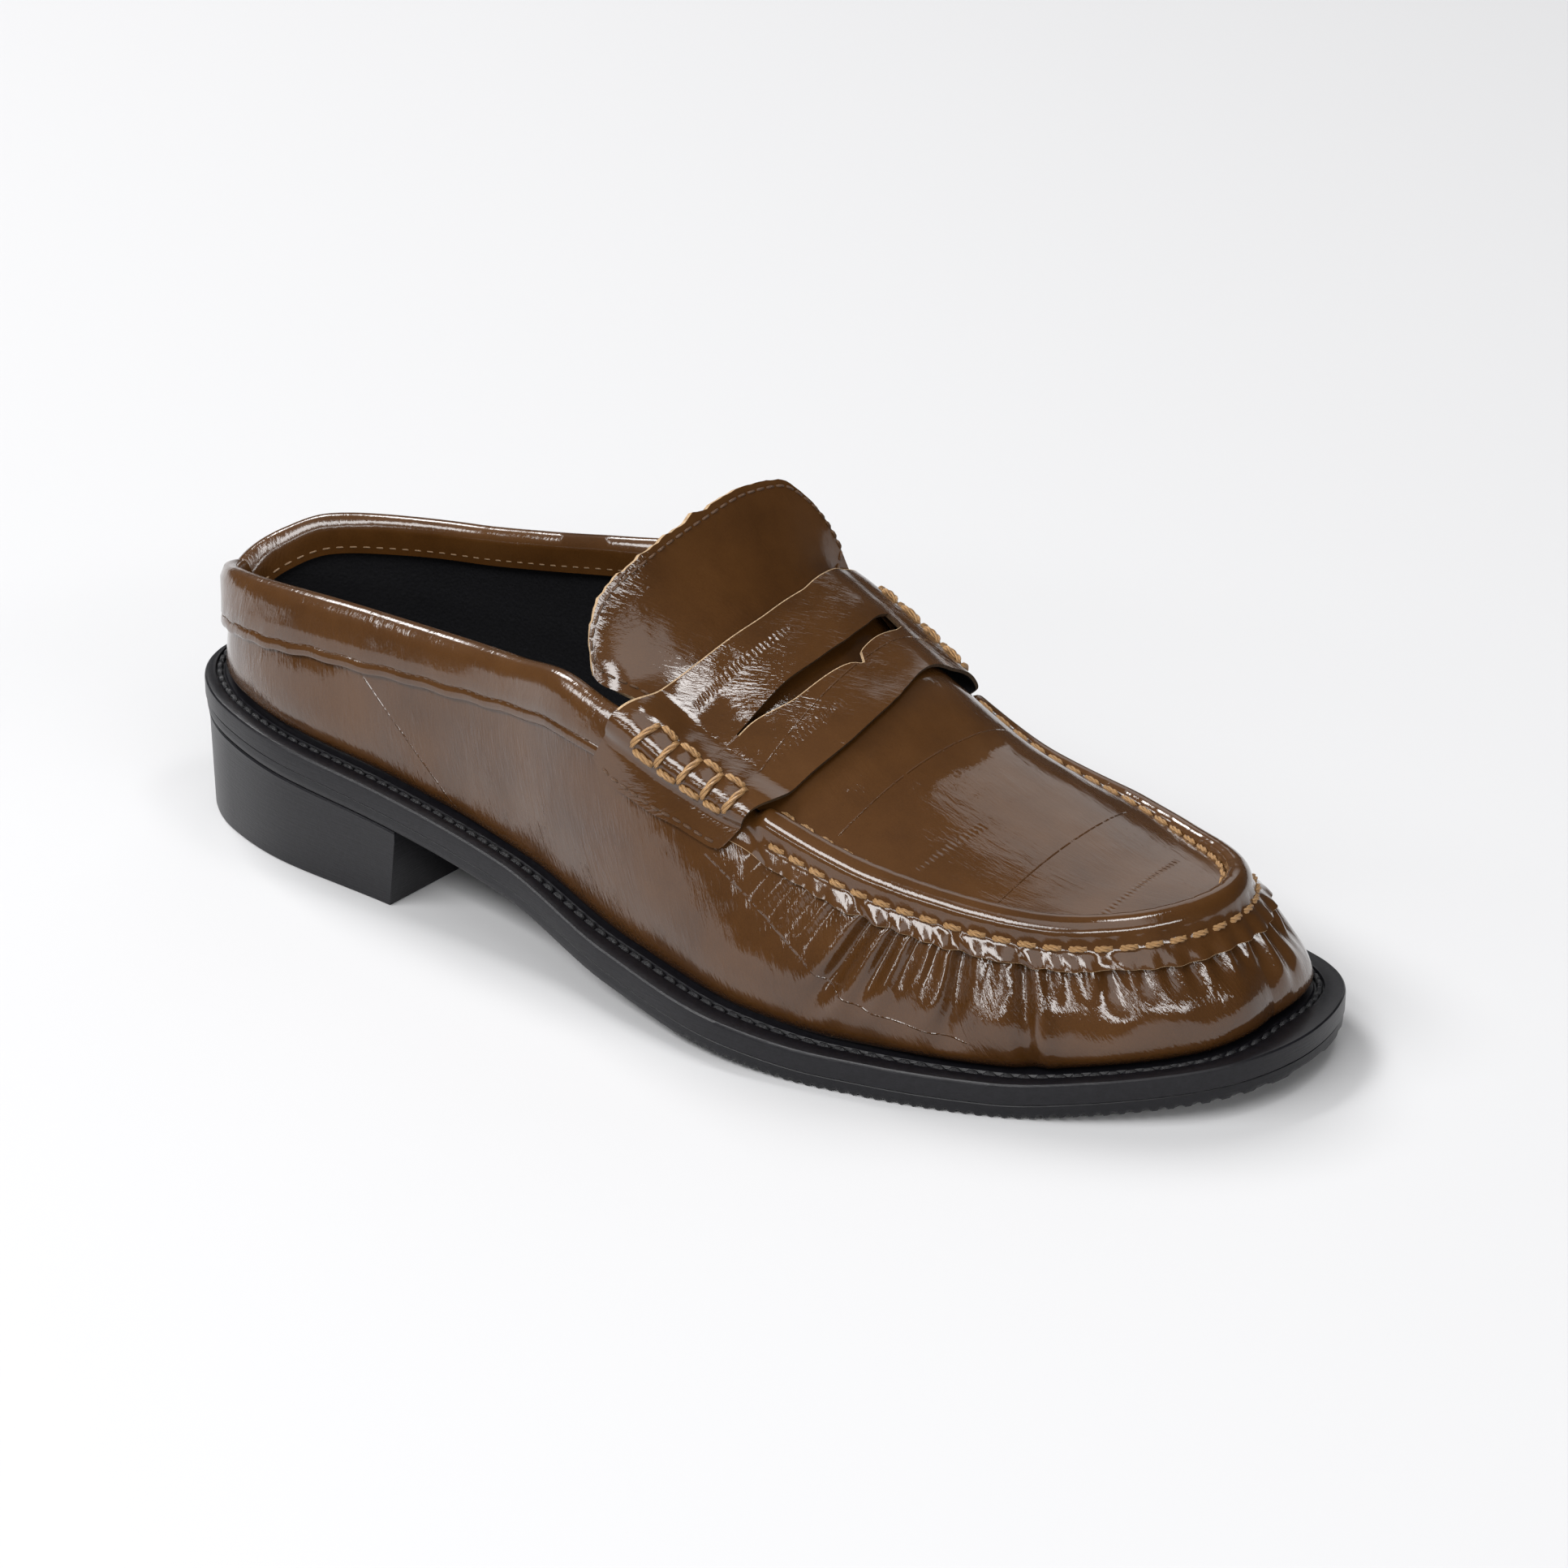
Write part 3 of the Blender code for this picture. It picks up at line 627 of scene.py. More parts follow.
tonguePatent = patentLeather("tonguePatent", (1, 3, 1), 25, creases["tongue"], creases["tongueCombs"],
                             0.6, 0.6)
rollPatent = patentLeather("rollPatent", (1, 2.5, 1), 0, (), (), 0.25, 0.3)
bindPatent = patentLeather("bindPatent", (1, 2.5, 1), 10, (), (), 0.8, 1.0, 4.5)
rawEdge = plainFinish("rawEdge", (0.46, 0.32, 0.19), 0.8, 1400, 0.0004, 0.3)
# near-black colour for the strap's cut rims: painted shade, as dark as the rims look in shadow
cutEdgePaintedShade = plainFinish("cutEdgePaintedShade", (0.05, 0.028, 0.013), 0.7, 1400, 0.0004, 0.35)
# each thread: first colour is painted shade, second is painted highlight, mixed along the fibres
goldThread = threadFinish("goldThread", (0.11, 0.048, 0.016), (0.62, 0.36, 0.15), 0.34)
tanThread = threadFinish("tanThread", (0.14, 0.075, 0.036), (0.46, 0.30, 0.17), 0.45)
brownThread = threadFinish("brownThread", (0.055, 0.024, 0.010), (0.16, 0.085, 0.042), 0.34)
blackThread = threadFinish("blackThread", (0.004, 0.004, 0.005), (0.026, 0.026, 0.029), 0.32)
blackLining = plainFinish("blackLining", (0.005, 0.005, 0.006), 0.75, 1500, 0.0003, 0.3)
print("finishes mixed")

# sole: welt ring, outsole plate and heel, finer than the solids
sole = {
    "stations": 1440, "weltShare": 0.58, "grooveWide": 2.1, "grooveDeep": 0.9,
    "treadFrom": 0.60, "treadPitch": 2.4, "treadDeep": 0.5, "treadSteep": 1.6,
    "plateRim": 12, "plateLap": 14, "plateUnder": 0.1, "sharp": 32,
    "heelRun": 76, "heelSteps": 150, "breastSteps": 24,
    "heelRows": [
        # inset, height, what that is measured from, distance short of the breast; mm
        (1.80, 0.00, "floor", 3.10), (1.35, 0.15, "floor", 2.65), (1.20, 0.60, "floor", 2.50),
        (0.75, -2.20, "plate", 0.20), (0.55, -0.50, "plate", 0.00), (0.80, -0.10, "plate", 0.20),
    ],
}
rimTurns = [2 * math.pi * i / sole["stations"] for i in range(sole["stations"])]


def tread(x):
    if x < sole["treadFrom"] * shoe["length"]:
        return 0.0
    wave = math.sin(2 * math.pi * x / sole["treadPitch"])
    return sole["treadDeep"] * min(max(0.5 + sole["treadSteep"] * wave, 0.0), 1.0)


# a profile row: depth and lift in mm, from the rim unless it is marked leather or spine
def sweepRim(profile, top=False):
    table = []
    for depth, lift, *marks in profile:
        row = []
        for a in rimTurns:
            x, y = (feather if "leather" in marks else inset)(a, depth)
            base = rimTop(x) if top else under(x) + ("tread" in marks) * tread(x)
            row.append((x, swing(x) if "spine" in marks else y, base + lift))
        table.append(row)
    return table


def finishRubber(piece, mat, node):
    piece.data.materials.append(mat)
    only(piece)
    bpy.ops.object.shade_smooth_by_angle(angle=math.radians(sole["sharp"]))
    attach(piece, "root")
    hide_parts(node)


def makeWelt():
    low = -shoe["soleEdge"] * sole["weltShare"]
    wide, deep = sole["grooveWide"], sole["grooveDeep"]
    profile = [
        (3.0, low, "leather"), (0.15, low), (0.0, low + 0.2), (0.0, -1.0), (0.10, -0.45), (0.40, -0.12),
        (0.9, 0.0), (-wide - 0.5, 0.05, "leather"), (-wide - 0.15, -0.1, "leather"),
        (-wide, -deep, "leather"), (-0.3, -deep, "leather"), (0.0, -0.4, "leather"),
        (3.0, -0.3, "leather"),
    ]
    finishRubber(gridPiece("weltRing", sweepRim(profile, True), True, True), weltRubber, "welt")


def makeOutsole():
    top = shoe["soleEdge"] * (1 - sole["weltShare"]) - sole["plateUnder"]
    rim, lap = sole["plateRim"], sole["plateLap"]
    profile = [
        (lap, 0.3, "spine"), (lap, 0.3), (rim, 0.0, "tread"), (1.6, 0.0, "tread"), (0.75, 0.15, "tread"),
        (0.35, 0.7, "tread"), (0.25, 1.7), (0.25, top - 0.25), (0.45, top), (rim, top - 0.2),
        (rim, top - 0.2, "spine"),
    ]
    finishRubber(gridPiece("outsolePlate", sweepRim(profile), True), soleRubber, "outsole")


def makeHeel():
    steps, run, across = (sole[k] for k in ("heelSteps", "heelRun", "breastSteps"))
    end = turn(run / shoe["length"])
    rows = []
    for depth, height, base, short in sole["heelRows"]:
        reach = run - short
        row = []
        for i in range(-steps, steps + 1):
            p = inset(end * i / steps, depth)
            x = min(p[0] * reach / inset(end, depth)[0], reach)
            row.append((x, p[1], (under(x) if base == "plate" else 0.0) + height))
        first, last = np.array(row[0]), np.array(row[-1])
        rows.append(row + [tuple(last + (first - last) * k / across) for k in range(1, across)])
    flat = [[(x, swing(x), z) for x, _, z in rows[k]] for k in (0, -1)]
    finishRubber(gridPiece("heelBlock", [flat[0]] + rows + [flat[1]], True), heelRubber, "heel_block")


weltRubber = rubberSide("weltRubber", (0.0065, 0.0062, 0.0080), 0.36)
soleRubber = rubberSide("soleRubber", (0.0055, 0.0053, 0.0070), 0.42)
heelRubber = rubberSide("heelRubber", (0.0060, 0.0057, 0.0075), 0.38)
makeWelt()
makeOutsole()
makeHeel()
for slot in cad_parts["insole"].material_slots:
    slot.material = blackLining
print("sole made")

# upper wall: quarters and the gathered vamp
vamp = {
    "rows": 52, "tuck": 1.3, "tuckTo": 0.11, "thick": 1.8,
    "fine": 0.0014, "coarse": 0.0050, "fineFrom": 0.59,  # steps in half turns
    "pivot": 0.85, "wideFrom": 0.8, "wider": 1.25,  # lean and width over the height
    "fadeRun": 0.38, "fadeTop": 0.74, "fadeLeast": 0.12,
    "pinned": (0.76, 0.12, 0.72),  # height, run, share of the folds pressed flat by the seam
    "strapped": (0.612, 0.010, 0.55, 0.10, 0.9),  # under the strap: place, run, height, run, share
    "hidden": {"from": 1.012, "to": 1.385, "toe": 0.1},  # folds of the medial side, in half turns
    "folds": [
        # place in half turns, depth mm, width mm, lowest reach, lean mm towards the heel
        (0.603, 0.30, 0.9, 0.52, 30), (0.611, -0.35, 0.8, 0.55, 30), (0.619, 0.40, 0.8, 0.50, 30),
        (0.627, -0.40, 0.8, 0.48, 30), (0.635, 0.42, 0.9, 0.50, 30), (0.642, -0.38, 0.8, 0.44, 29),
        (0.649, 0.45, 0.9, 0.46, 29), (0.656, -0.42, 0.8, 0.42, 28), (0.663, 0.50, 0.9, 0.44, 28),
        (0.669, -0.5, 0.9, 0.40, 28), (0.6765, 0.8, 1.2, 0.36, 28), (0.6840, 1.2, 1.2, 0.22, 28),
        (0.6924, -2.2, 1.6, 0.08, 27), (0.7010, 1.8, 1.6, 0.05, 25), (0.7085, -1.3, 1.1, 0.22, 23),
        (0.7150, 1.5, 1.3, 0.10, 21), (0.7215, -1.1, 1.1, 0.35, 20), (0.7280, 1.1, 1.4, 0.25, 18),
        (0.7345, -1.1, 1.1, 0.30, 16), (0.7405, 1.9, 1.6, 0.10, 15), (0.7490, -2.7, 1.7, 0.02, 14),
        (0.7585, 1.5, 1.9, 0.12, 13), (0.7670, -0.9, 1.2, 0.40, 13), (0.7745, 1.3, 1.9, 0.04, 12),
        (0.7835, 0.5, 1.6, 0.25, 11), (0.7900, -2.4, 1.2, -0.20, 9), (0.7965, 2.2, 1.5, -0.10, 9),
        (0.8055, -1.0, 1.2, 0.42, 9), (0.8130, 1.1, 1.2, 0.48, 8), (0.8195, -1.0, 1.1, 0.46, 8),
        (0.8260, 1.1, 1.2, 0.50, 8), (0.8325, -0.9, 1.1, 0.52, 8), (0.8390, 1.1, 1.2, 0.50, 8),
        (0.8465, -0.6, 1.1, 0.52, 8), (0.8560, -1.9, 2.0, 0.34, 7), (0.8680, 1.1, 1.9, 0.42, 6),
        (0.8790, -0.9, 1.3, 0.46, 5), (0.8890, 1.1, 1.6, 0.44, 5), (0.8995, -0.9, 1.3, 0.48, 4),
        (0.9100, 1.0, 1.5, 0.46, 4), (0.9220, -0.9, 1.3, 0.48, 3), (0.9350, 1.1, 1.5, 0.46, 2),
        (0.9500, -1.2, 1.4, 0.42, 2), (0.9650, 1.1, 1.4, 0.46, 1), (0.9810, -1.1, 1.3, 0.44, 0),
        (0.9970, 1.1, 1.3, 0.46, 0),
    ],
    "puffs": [
        # place in half turns, height up the wall, size along mm, size up, depth mm
        (0.880, 0.44, 7.0, 0.20, 1.2), (0.760, 0.30, 5.0, 0.22, 1.0), (0.720, 0.30, 6.0, 0.26, 0.7),
        (0.955, 0.38, 5.0, 0.25, 0.9), (0.820, 0.16, 9.0, 0.18, 0.5), (0.585, 0.50, 14.0, 0.26, -0.7),
        (0.390, 0.25, 9.0, 0.30, -0.6), (0.320, 0.45, 8.0, 0.30, -0.5), (0.470, 0.45, 16.0, 0.35, 0.5),
        (0.640, 0.28, 10.0, 0.22, 0.6),
    ],
}
spot, sign = vamp["hidden"]["from"], -1
while spot < vamp["hidden"]["to"]:
    near = spot - 1 < vamp["hidden"]["toe"]
    vamp["folds"].append((spot, sign * random.uniform(0.8, 1.9), random.uniform(1.2, 1.8),
                          random.uniform(0.1, 0.5), 0 if near else -random.uniform(6, 11)))
    spot += random.uniform(0.013, 0.017) if near else random.uniform(0.0065, 0.0095)
    sign = -sign
seamPlaces = np.linspace(0.0, 2.0, 1601)
seamRun = runOf([wallPoint(math.pi * p, 0.8) for p in seamPlaces])
foldTable = np.array(vamp["folds"])
foldRun = np.interp(foldTable[:, 0], seamPlaces, seamRun)
puffTable = np.array(vamp["puffs"])
puffRun = np.interp(puffTable[:, 0], seamPlaces, seamRun)


# outward relief of the wall
def gatherRelief(a, v):
    place = a / math.pi
    run = np.interp(place, seamPlaces, seamRun)
    depth, width, reach, lean = foldTable[:, 1:].T
    centre = foldRun - lean * (vamp["pivot"] - v)
    wide = width * (vamp["wider"] + max(vamp["wideFrom"] - v, 0.0))
    fadeRun = np.maximum(np.minimum(reach + vamp["fadeRun"], vamp["fadeTop"]) - reach, vamp["fadeLeast"])
    folds = (depth * np.exp(-((run - centre) / wide) ** 2) * smoothStep((v - reach) / fadeRun)).sum()
    start, over, most = vamp["pinned"]
    folds *= 1 - most * smoothStep((v - start) / over)
    last, before, start, over, most = vamp["strapped"]
    folds *= 1 - most * smoothStep((last - min(place, 2 - place)) / before) * smoothStep((v - start) / over)
    high, along, up, puff = puffTable[:, 1:].T
    puffs = (puff * np.exp(-((run - puffRun) / along) ** 2 - ((v - high) / up) ** 2)).sum()
    return folds + puffs


def makeWall():
    turns, a, edge = [], 0.0, vamp["fineFrom"]
    while a < 2 * math.pi - 1e-6:
        turns.append(a)
        a += math.pi * (vamp["fine"] if edge < a / math.pi < 2 - edge else vamp["coarse"])
    table = []
    for j in range(vamp["rows"] + 1):
        v = j / vamp["rows"]
        tuck = vamp["tuck"] * max(1 - v / vamp["tuckTo"], 0.0) ** 2
        table.append([wallPoint(a, v) + outOf(a) * (gatherRelief(a, v) - tuck) for a in turns])
    wall = gridPiece("wallLeather", table, True)
    thicken(wall, vamp["thick"], [wallPatent, blackLining], 1, 1)
    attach(wall, "root")
    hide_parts("upper")
    print("wall of the upper made")


makeWall()

# apron
apronCut = {"from": 0.650, "columns": 84, "rows": 56, "thick": 1.7, "inset": 2.2}


def makeApron():
    first = turn(apronCut["from"])
    turns = [first + (math.pi - first) * i / apronCut["columns"] for i in range(apronCut["columns"] + 1)]
    sides = [[apronInset(side, apronCut["inset"]) for side in (a, 2 * math.pi - a)] for a in turns]
    table = []
    for j in range(apronCut["rows"] + 1):
        row = [lat + (med - lat) * j / apronCut["rows"] for lat, med in sides]
        for p in row:
            p[2] = apronHeight(p[0], p[1])
        table.append(row)
    piece = gridPiece("apronLeather", table)
    thicken(piece, apronCut["thick"], [apronPatent, blackLining], 1, 1)
    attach(piece, "root")
    print("apron made")


makeApron()

# rolled seam with its flange, stitched through
seam = {
    "pitch": 4.8, "perStitch": 8, "hidden": 18, "lead": 0.16, "samples": 1700,
    "high": 3.5, "inwards": 0.9, "below": 2.7, "flange": 6.3, "cutRows": (3, 4),
    "roll": (3.15, 2.35, 0.66, 196, 202.5, 16),  # half axes, tilt, first angle, sweep, steps
    "dent": (0.10, (3, 4, 5, 6)),  # under the thread: depth, steps of the roll
    "pinch": (0.32, 0.16),  # at a stitch hole: depth, share of the pitch
    "cover": (0.672, 0.689),  # lower and thinner under the strap, where these shares are left
    "covered": (0.25, 0.45, 0.7),  # of flange, height and roll
    "curl": (0.45, 0.74, 0.25),  # share of the folds' relief, its height on the wall, mm more
    "ripples": ((0.14, 0.17, 0.0), (0.10, 0.53, 1.0)),  # of the flange's edge
    "flangeRows": [
        # mm down the wall, 1 if measured from the flange's edge, mm out, shares of pinch and curl
        (2.20, 0, 1.35, 1.0, 0.0), (3.40, 0, 1.55, 0.4, 0.0), (4.80, 0, 1.70, 0.0, 1.0),
        (-0.12, 1, 1.75, 0.0, 1.0), (0.00, 1, 1.62, 0.0, 1.0), (0.00, 1, 1.15, 0.0, 1.0),
        (-0.80, 1, 0.75, 0.0, 0.8),
    ],
}


def seamStations():
    first, last = turn(shoe["seamStart"]), 2 * math.pi - turn(shoe["seamStart"])
    lead, n = seam["lead"], seam["samples"]
    fine = [first - lead + (last - first + 2 * lead) * i / n for i in range(n + 1)]
    run = runOf([wallDown(a, 2.4) for a in fine])
    low, high = np.interp([first, last], fine, run)
    count = int(round((high - low) / seam["pitch"]))
    n = count * seam["perStitch"]
    spots = [low + (high - low) * i / n for i in range(-seam["hidden"], n + seam["hidden"] + 1)]
    return [float(np.interp(s, run, fine)) for s in spots], count


seamTurns, seamCount = seamStations()


def seamSection(a, index):
    out, top = outOf(a), topPoint(a)
    phase = (index - seam["hidden"]) % seam["perStitch"] / seam["perStitch"]
    deep, wide = seam["pinch"]
    hole = math.exp(-(min(phase, 1 - phase) / wide) ** 2)
    start, end = seam["cover"]
    shown = float(smoothStep((shareOf(a) - start) / (end - start)))
    full, raised, plump = (share + (1 - share) * shown for share in seam["covered"])
    pinch = deep * hole * shown
    edge = seam["flange"] + rippled(index, seam)
    share, height, more = seam["curl"]
    curl = (share * gatherRelief(a, height) + more) * shown
    centre = top - out * seam["inwards"] + upward * (seam["high"] * raised - seam["below"])
    section = [apronInset(a, shoe["seamFoot"] + 0.3) - upward * 0.5]
    long, short, tilt, first, sweep, steps = seam["roll"]
    for k in range(steps):
        ang = math.radians(first - sweep * k / (steps - 1))
        r = long * short / math.hypot(long * math.cos(ang - tilt), short * math.sin(ang - tilt)) * plump
        r -= seam["dent"][0] * hole * (k in seam["dent"][1])
        section.append(centre + (out * math.cos(ang) + upward * math.sin(ang)) * r)
    section[1] += out * (pinch * 0.7 - 0.2)
    for drop, atEdge, away, pinched, curled in seam["flangeRows"]:
        push = away * full - pinched * pinch + curled * curl
        section.append(wallDown(a, drop + edge * atEdge) + out * push)
    section.append(wallDown(a, 3.0) - out * 0.3)
    section.append(top - out * 1.2 - upward * 0.9)
    return section


def makeSeam():
    sections = [seamSection(a, i) for i, a in enumerate(seamTurns)]
    table = np.array(sections).transpose(1, 0, 2)[::-1]
    roll = gridPiece("seamRoll", table, False, True)
    for m in (rollPatent, rawEdge):
        roll.data.materials.append(m)
    with editing():
        bpy.ops.mesh.select_non_manifold()
        bpy.ops.mesh.edge_face_add()
    for f, poly in enumerate(roll.data.polygons):
        if f // (len(seamTurns) - 1) in seam["cutRows"]:
            poly.material_index = 1
    crisp(roll, 55)
    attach(roll, "root")
    print("seam rolled:", seamCount, "stitches")


makeSeam()

# strap: saddle with a shaped slot, its ends laid over the seam and whipped down
strap = {
    "thick": 0.75, "stand": 1.85, "high": 2.9, "drop": 11, "ease": 0.3,
    "medialRoll": 0.6, "medialTab": -0.005, "rows": (10, 4, 10), "slotEnd": 0.70, "rawShare": 0.013,
    "tabSteps": 18, "tabPower": 1.2, "turnSteps": 12, "turnTo": 0.79, "middle": 64,
    "barWide": 0.0032, "barPinch": 0.24,
    "bars": [(0.5680, 0.5790), (0.5900, 0.5975), (0.6110, 0.6200), (0.6330, 0.6400), (0.6520, 0.6620)],
    "tab": [
        # row across the strap, share of the length, mm down the wall at the tab's lower edge
        (0.0, 0.527, 9.4), (0.15, 0.537, 12.2), (0.30, 0.552, 12.9), (0.50, 0.573, 12.4),
        (0.80, 0.599, 10.5), (1.0, 0.608, 10.1), (2.0, 0.613, 10.0), (2.5, 0.636, 9.8),
        (2.8, 0.646, 8.9), (3.0, 0.652, 7.2),
    ],
    "shape": [
        (-1.00, 0.549, 0.621, 0.624, 0.673), (-0.90, 0.556, 0.623, 0.626, 0.684),
        (-0.62, 0.567, 0.626, 0.628, 0.690),
        (-0.30, 0.573, 0.625, 0.640, 0.694), (0.02, 0.577, 0.628, 0.643, 0.692),
        (0.13, 0.577, 0.628, 0.646, 0.690), (0.185, 0.577, 0.628, 0.651, 0.689),
        (0.205, 0.577, 0.628, 0.651, 0.688), (0.235, 0.577, 0.628, 0.643, 0.687),
        (0.30, 0.577, 0.627, 0.640, 0.685), (0.44, 0.574, 0.625, 0.637, 0.680),
        (0.60, 0.570, 0.620, 0.636, 0.676), (0.72, 0.566, 0.618, 0.630, 0.675),
        (1.00, 0.558, 0.613, 0.615, 0.673),
    ],
}
strapCut = [column(strap["shape"], c) for c in (1, 2, 3, 4)]
tabShare, tabDrop = (column(strap["tab"], c) for c in (1, 2))
wallLift = curve([0, 1.6, 4.2, 11], [0.95, 0.62, 0.0, 0.0])
apronLift = curve([0.79, 0.86, 0.94, 1.0], [0.0, 0.55, 1.0, 0.95])


# columns from the lateral tab's end to the medial one: kind, t across, drop down the wall
def strapPath():
    n, m, inner, middle = (strap[k] for k in ("tabSteps", "turnSteps", "turnTo", "middle"))
    end = [("wall", -1.0, strap["drop"] * (1 - i / n) ** strap["tabPower"]) for i in range(n + 1)]
    end += [("apron", -1 + (1 - inner) * i / m, 0.0) for i in range(1, m + 1)]
    return (end + [("apron", inner * (2 * i / middle - 1), 0.0) for i in range(1, middle)]
            + [(kind, -t, drop) for kind, t, drop in end[::-1]])


# share of the length at place t across, w (0 to 3) from rear edge to front edge, and drop
def cutAt(t, w, drop=0.0):
    i = min(int(w), 2)
    flat = strapCut[i](t) * (1 - (w - i)) + strapCut[i + 1](t) * (w - i)
    k = drop / strap["drop"]
    return flat * (1 - k) + (tabShare(w) + (strap["medialTab"] if t > 0 else 0.0)) * k


# places from rear to front, with a narrow row for the raw edge of each band
def strapRows():
    ws = []
    for part, n in enumerate(strap["rows"]):
        ws += [part + i / n for i in range(n)]
        if part != 1:
            ws.append(part + strap["rawShare"])
    return sorted(ws) + [3.0]


def barPinch(share, t):
    if t > -strap["slotEnd"]:
        return 0.0
    return max(math.exp(-((share - (o + i) / 2) / strap["barWide"]) ** 2) for o, i in strap["bars"])


def strapGrid():
    path = strapPath()
    base, lift = [], []
    for w in strapRows():
        line, high = [], []
        for kind, t, drop in path:
            cut = cutAt(t, w, drop)
            if kind == "apron":
                line.append(apron(cut, t))
                h = apronLift(abs(t))
            else:
                a = turn(cut) if t < 0 else 2 * math.pi - turn(cut)
                line.append(wallDown(a, drop / strap["drop"] * tabDrop(w)))
                h = wallLift(drop)
            full = strap["high"] * (strap["medialRoll"] if t > 0 else 1.0)
            high.append(h * full * (1 - strap["barPinch"] * barPinch(cut, t) * h))
        base.append(line)
        lift.append(high)
    base = np.array(base)
    normals = np.cross(np.gradient(base, axis=0), np.gradient(base, axis=1))
    normals = unit(normals)
    smoothed(normals, 6)
    normals = unit(normals)
    ease = np.array([strap["ease"] * max(2 * drop / strap["drop"] - 1, 0.0) for _, _, drop in path])
    face = base + normals * (strap["stand"] + np.array(lift) - ease)[:, :, None]
    bend = slice(strap["turnSteps"], strap["turnSteps"] + 20)  # where the tabs turn onto the apron
    smoothed(face[:, bend], 3)
    smoothed(face[:, ::-1][:, bend], 3)
    return path, face, normals


strapColumns, strapFace, strapNormals = strapGrid()
strapWs = strapRows()


# point and normal on the strap's face in one column, at a share of the length
def strapSpot(column, share, lift):
    _, t, drop = strapColumns[column]
    shares = [cutAt(t, w, drop) for w in strapWs]
    n = unit(between(share, shares, strapNormals[:, column]))
    return between(share, shares, strapFace[:, column]) + n * lift, n


def makeStrap():
    piece = gridPiece("strapLeather", strapFace[::-1])
    nv, nu = strapFace.shape[0] - 1, strapFace.shape[1] - 1
    lo = strap["rows"][0] + 1
    hi = lo + strap["rows"][1]
    within = [kind == "apron" and abs(t) < strap["slotEnd"] for kind, t, _ in strapColumns]
    inSlot = [within[c] and within[c + 1] for c in range(nu)]
    with editing():
        bpy.ops.mesh.select_mode(type="FACE")
    for f, poly in enumerate(piece.data.polygons):
        row, col = nv - 1 - f // nu, f % nu
        poly.select = lo <= row < hi and inSlot[col]
        raw = strapColumns[col][0] == "apron" if row == 0 else row == hi and inSlot[col]
        poly.material_index = 3 if raw else 0
    bpy.ops.object.mode_set(mode="EDIT")
    bpy.ops.mesh.delete(type="FACE")
    bpy.ops.object.mode_set(mode="OBJECT")
    # the strap's rims take the painted-shade colour, its narrow raw rows the light raw-edge colour
    thicken(piece, strap["thick"], [strapPatent, cutEdgePaintedShade, blackLining, rawEdge], 1, 2)
    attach(piece, "root")
    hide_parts("strap")
    print("strap cut and laid")


makeStrap()

# tongue: up from under the apron, flaring behind the strap
tongue = {
    "start": 0.680, "under": 2.9, "across": 72, "lap": 14, "free": 30, "thick": 1.5,
    "over": 0.2, "riseFrom": 0.625, "riseTo": 0.575, "narrow": 0.86, "pull": 0.9,
    "steep": (-0.45, 0.0, 0.9), "raggedWay": (-0.4, 0, 0.9),
    "ragged": (0.34, 0.12, 0.1),  # lateral and medial height, run up to the free edge
    "nib": (0.9, -0.02, 0.02, 0.05),  # small point near the middle: height, place, width, run
    "edge": [
        (-1.00, 0.481, -0.345, 1.330), (-0.85, 0.472, -0.325, 1.480), (-0.65, 0.470, -0.280, 1.610),
        (-0.35, 0.478, -0.170, 1.730), (0.00, 0.485, -0.010, 1.816), (0.30, 0.491, 0.120, 1.860),
        (0.55, 0.498, 0.212, 1.845), (0.75, 0.509, 0.280, 1.735), (0.90, 0.520, 0.330, 1.560),
        (1.00, 0.528, 0.352, 1.400),
    ],
}
tongueEdge = [column(tongue["edge"], c) for c in (1, 2, 3)]


def lapPoint(t, w):
    share = tongue["start"] + (strapCut[0](t) + 0.003 - tongue["start"]) * w
    p = apron(share, t * tongue["narrow"])
    k = float(smoothStep((tongue["riseFrom"] - share) / (tongue["riseFrom"] - tongue["riseTo"])))
    p[2] += tongue["over"] * k - tongue["under"] * (1 - k)
    return p


# v runs 0 at the lap's inner end, 1 at the strap's rear edge, 2 at the free edge
def tonguePoint(t, v):
    if v <= 1:
        return lapPoint(t, v)
    start = lapPoint(t, 1.0)
    lead = unit(start - lapPoint(t, 0.86))
    x, y, z = (at(t) for at in tongueEdge)
    end = np.array([x * shoe["length"], y * shoe["ballWidth"], z * shoe["rise"]])
    reach = np.linalg.norm(end - start) * tongue["pull"]
    return hermite(v - 1, start, end, lead * reach, np.array(tongue["steep"]) * reach)


def makeTongue():
    lap, free, across = (tongue[k] for k in ("lap", "free", "across"))
    table = []
    for r in range(lap + free + 1):
        v = r / lap if r <= lap else 1 + (r - lap) / free
        row = []
        for c in range(across + 1):
            t = -1 + 2 * c / across
            lateral, medial, run = tongue["ragged"]
            ragged = (lateral if t < 0.1 else medial) * math.sin(c * 1.7) * math.sin(c * 0.61)
            ragged *= max(v - 2 + run, 0) / run
            high, place, wide, run = tongue["nib"]
            ragged += high * math.exp(-((t - place) / wide) ** 2) * max(v - 2 + run, 0) / run
            row.append(tonguePoint(t, v) + np.array(tongue["raggedWay"]) * ragged)
        table.append(row)
    piece = gridPiece("tongueLeather", table)
    thicken(piece, tongue["thick"], [tonguePatent, rawEdge, blackLining], 1, 2)
    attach(piece, "root")
    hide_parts("tongue")
    print("tongue shaped")


makeTongue()

